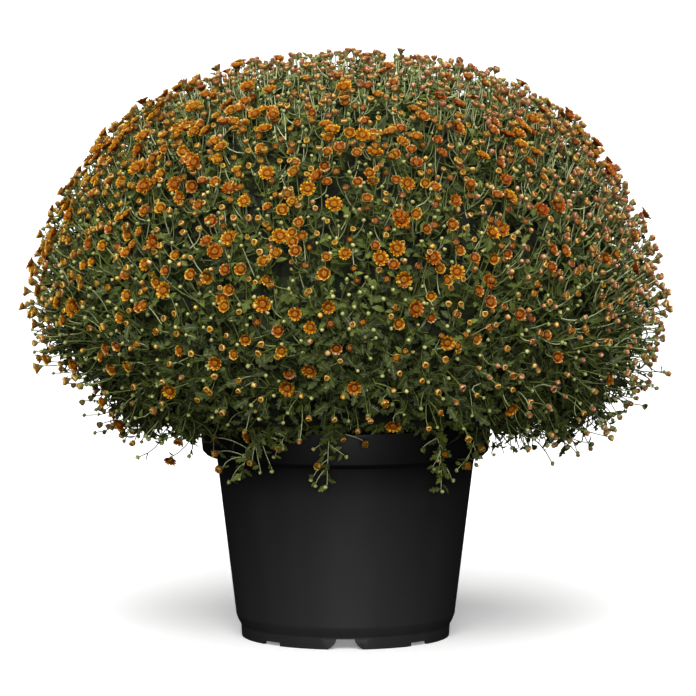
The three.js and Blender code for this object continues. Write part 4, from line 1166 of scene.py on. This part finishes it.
nearest_leader_fork = nearest_among(leader_forks)
for angle, azimuth in dome_sites(BRANCHLET_COUNT, lambda angle: 1, stray=0.4):
    normal = dome_normal(angle, azimuth)
    low = graded(angle, SPRAY_PAINTED_SHADE, (0, 1))
    lead = (growth(angle, azimuth) + stray_direction(0.15)).normalized()
    tip = dome_point(angle, azimuth, random.uniform(*BRANCHLET_TIPS) * swell(angle, azimuth))
    start, name = nearest_leader_fork(tip - lead * random.uniform(*BRANCHLET_LENGTHS))
    curve = grown_curve(start, tip, lead)
    add_stalk(spray_pieces[name], curve, BRANCHLET_RADII, SPRAY_SLOTS["stalk"],
              tone=random.uniform(0, 0.45), shape=SHORT_STALK)
    # Painted shade: the leaves are painted darker down the skirt
    add_leaves(spray_pieces[name], curve, normal, BRANCHLET_LEAVES, SPRAY_LEAVES, BRANCHLET_LEAF_LENGTHS,
               SPRAY_SLOTS["leaf"], palest=1 - 0.45 * low)
    stalk_forks += forks_on(curve, name, BRANCHLET_STALK_FORKS)
nearest_stalk_fork = nearest_among(stalk_forks)

for angle, azimuth in dome_sites(HEAD_COUNT - CAD_HEAD_COUNT, flower_density, stray=0.42):
    kind = head_kind(dome_point(angle, azimuth), angle)
    normal = dome_normal(angle, azimuth)
    low = graded(angle, HEAD_SHADE, (0, 1))
    crown = graded(angle, CROWN, (1, 0))
    # Stalks are painted pale on the crown and on the right, as painted highlights; stalks and their leaves
    # are painted darker down the skirt, as painted shade
    pale = max(graded(angle, PAINTED_HIGHLIGHT_CROWN, (0.8, 0)), 0.65 * math.cos(azimuth) * (1 - low))
    palest = max(pale, 0.8 - 0.15 * low) + 0.2
    depth = random.uniform(*HEAD_STAGES[kind][1])
    place = dome_point(angle, azimuth, depth * swell(angle, azimuth) + 0.02 * low)
    lead = growth(angle, azimuth)
    if angle > OUTREACH_ANGLE and random.random() < OUTREACH_SHARE:
        lead = outward_at(azimuth)
        place += lead * random.uniform(*OUTREACH_LENGTHS)
    lead = (lead + stray_direction(0.12)).normalized()
    start, name = nearest_stalk_fork(place - lead * random.uniform(*STALK_LENGTHS) - normal * STALK_SINK)
    curve = grown_curve(start, place, lead)
    bm = spray_pieces[name]
    add_stalk(bm, curve, STALK_RADII, SPRAY_SLOTS["stalk"], tone=random.uniform(pale, palest),
              shape=SHORT_STALK)
    add_head(bm, place, head_facing(normal, lead, kind), kind, random.uniform(0.8, 1.1) - 0.12 * crown)
    if random.random() < 0.7 + 0.3 * low:
        add_leaves(bm, curve, normal, 1, SMALL_LEAVES, STALK_LEAF_LENGTHS, SPRAY_SLOTS["leaf"],
                   palest=1 - 0.4 * low)

for turn, degrees, size in SHOWY_HEADS:
    angle = math.radians(degrees)
    azimuth = math.radians(turn - 90)
    lead = growth(angle, azimuth)
    place = dome_point(angle, azimuth, swell(angle, azimuth))
    start, name = nearest_stalk_fork(place - lead * SHOWY_STALK)
    bm = spray_pieces[name]
    add_stalk(bm, grown_curve(start, place, lead), STALK_RADII, SPRAY_SLOTS["stalk"], tone=0.7)
    facing = (dome_normal(angle, azimuth) + stray_direction(0.1)).normalized()
    add_head(bm, place, facing, "open", size, tone=0.25)

for name, bm in spray_pieces.items():
    piece = finished(bm, f"{name}_flowers", SPRAY_MATERIALS)
    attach(piece, "root")
    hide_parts(name)

# ---------------------------------------------------------------- trailing sprigs
# Five sprigs hang from the bush's underside over the collar: pale thin stalks that part into a few
# young heads and many hard buds, with small leaves on every stalk and most of them on the first.

TRAIL_ROOT_RADIUS = 172 * MM
TRAIL_ROOT_Z = 240 * MM
TRAIL_HEAD_RADII = (174 * MM, 184 * MM)
TRAIL_HEAD_Z = 232 * MM  # the level that the heads' drops are taken from
TRAIL_FORKS = range(0, 90, 10)  # percent of the way down the first stalk, where the others may leave it
TRAIL_BOW = 6 * MM
TRAIL_RADII = (0.7 * MM, 0.55 * MM)
TRAIL_LEAF_LENGTHS = (11 * MM, 18 * MM)
TRAIL_STALK_LEAVES = 2
TRAIL_STALK_LEAF_LENGTHS = (8 * MM, 14 * MM)
# For each sprig: the turn of its root from the front, the leaves on its first stalk, and the turn, drop
# (mm) and stage of each of its heads
TRAILS = [
    (-19, 22, [(-38, 50, "bud"), (-41, 54, "bud"), (-46, 25, "young"), (-43, 40, "young"), (-35, 26, "bud"),
               (-29, 42, "bud"), (-25, 41, "bud"), (-46, 10, "ring"), (-32, 33, "ring")]),
    (-18, 14, [(-22, 17, "ring"), (-32, 4, "cup"), (-20, 15, "bud"), (-27, 1, "bud"), (-19, -5, "young"),
               (-24, 26, "bud"), (-36, -2, "young")]),
    (-5, 12, [(-6, 55, "bud"), (-8, 31, "young"), (-11, 47, "bud"), (-10, 53, "bud"), (-10, 16, "bud"),
              (0, 23, "bud"), (6, 8, "young"), (-1, 3, "ring")]),
    (31, 18, [(32, 61, "bud"), (33, 24, "young"), (32, 41, "bud"), (30, 38, "bud"), (37, 52, "bud"),
              (31, 30, "bud"), (26, 18, "bud")]),
    (52, 13, [(42, 36, "young"), (40, 44, "bud"), (48, 18, "young"), (55, 16, "bud"), (49, 31, "bud"),
              (47, 38, "bud")]),
]

for index, (turn, leaf_count, heads) in enumerate(TRAILS):
    outward = outward_at(math.radians(turn - 90))
    root = outward * TRAIL_ROOT_RADIUS + UP * TRAIL_ROOT_Z
    bm = bmesh.new()
    leader = None
    for head_turn, drop, kind in heads:
        away = outward_at(math.radians(head_turn - 90))
        place = away * random.uniform(*TRAIL_HEAD_RADII) + UP * (TRAIL_HEAD_Z - drop * MM)
        start = root
        if leader:
            start = min((curve_point(leader, percent / 100) for percent in TRAIL_FORKS),
                        key=lambda point: (point - place.lerp(root, 0.3)).length)
        length = (start - place).length
        bend = start.lerp(place, 0.5) + away * TRAIL_BOW + UP * 0.22 * length + stray_direction(0.07) * length
        curve = (start, bend, place)
        leader = leader or curve
        # Painted light: the sprigs' stalks are painted at their palest, partly their own pale colour and
        # partly painted light under the bush's shade; their leaves and the heads' warm tone are kept bright
        # for the same painted light
        add_stalk(bm, curve, TRAIL_RADII, SPRAY_SLOTS["stalk"], tone=random.uniform(0.9, 1.0))
        facing = (away + (place - bend).normalized() * 0.3 + stray_direction(0.25)).normalized()
        add_head(bm, place, facing, kind, random.uniform(0.95, 1.1), tone=random.uniform(0, 0.15))
        add_leaves(bm, curve, away, TRAIL_STALK_LEAVES, SPRAY_LEAVES, TRAIL_STALK_LEAF_LENGTHS,
                   SPRAY_SLOTS["leaf"], darkest=0.5)
    add_leaves(bm, leader, outward, leaf_count, LEAVES, TRAIL_LEAF_LENGTHS, SPRAY_SLOTS["leaf"],
               darkest=0.3)
    piece = finished(bm, f"trail_{index}_flowers", SPRAY_MATERIALS)
    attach(piece, "root")
    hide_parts(f"trail_{index}")
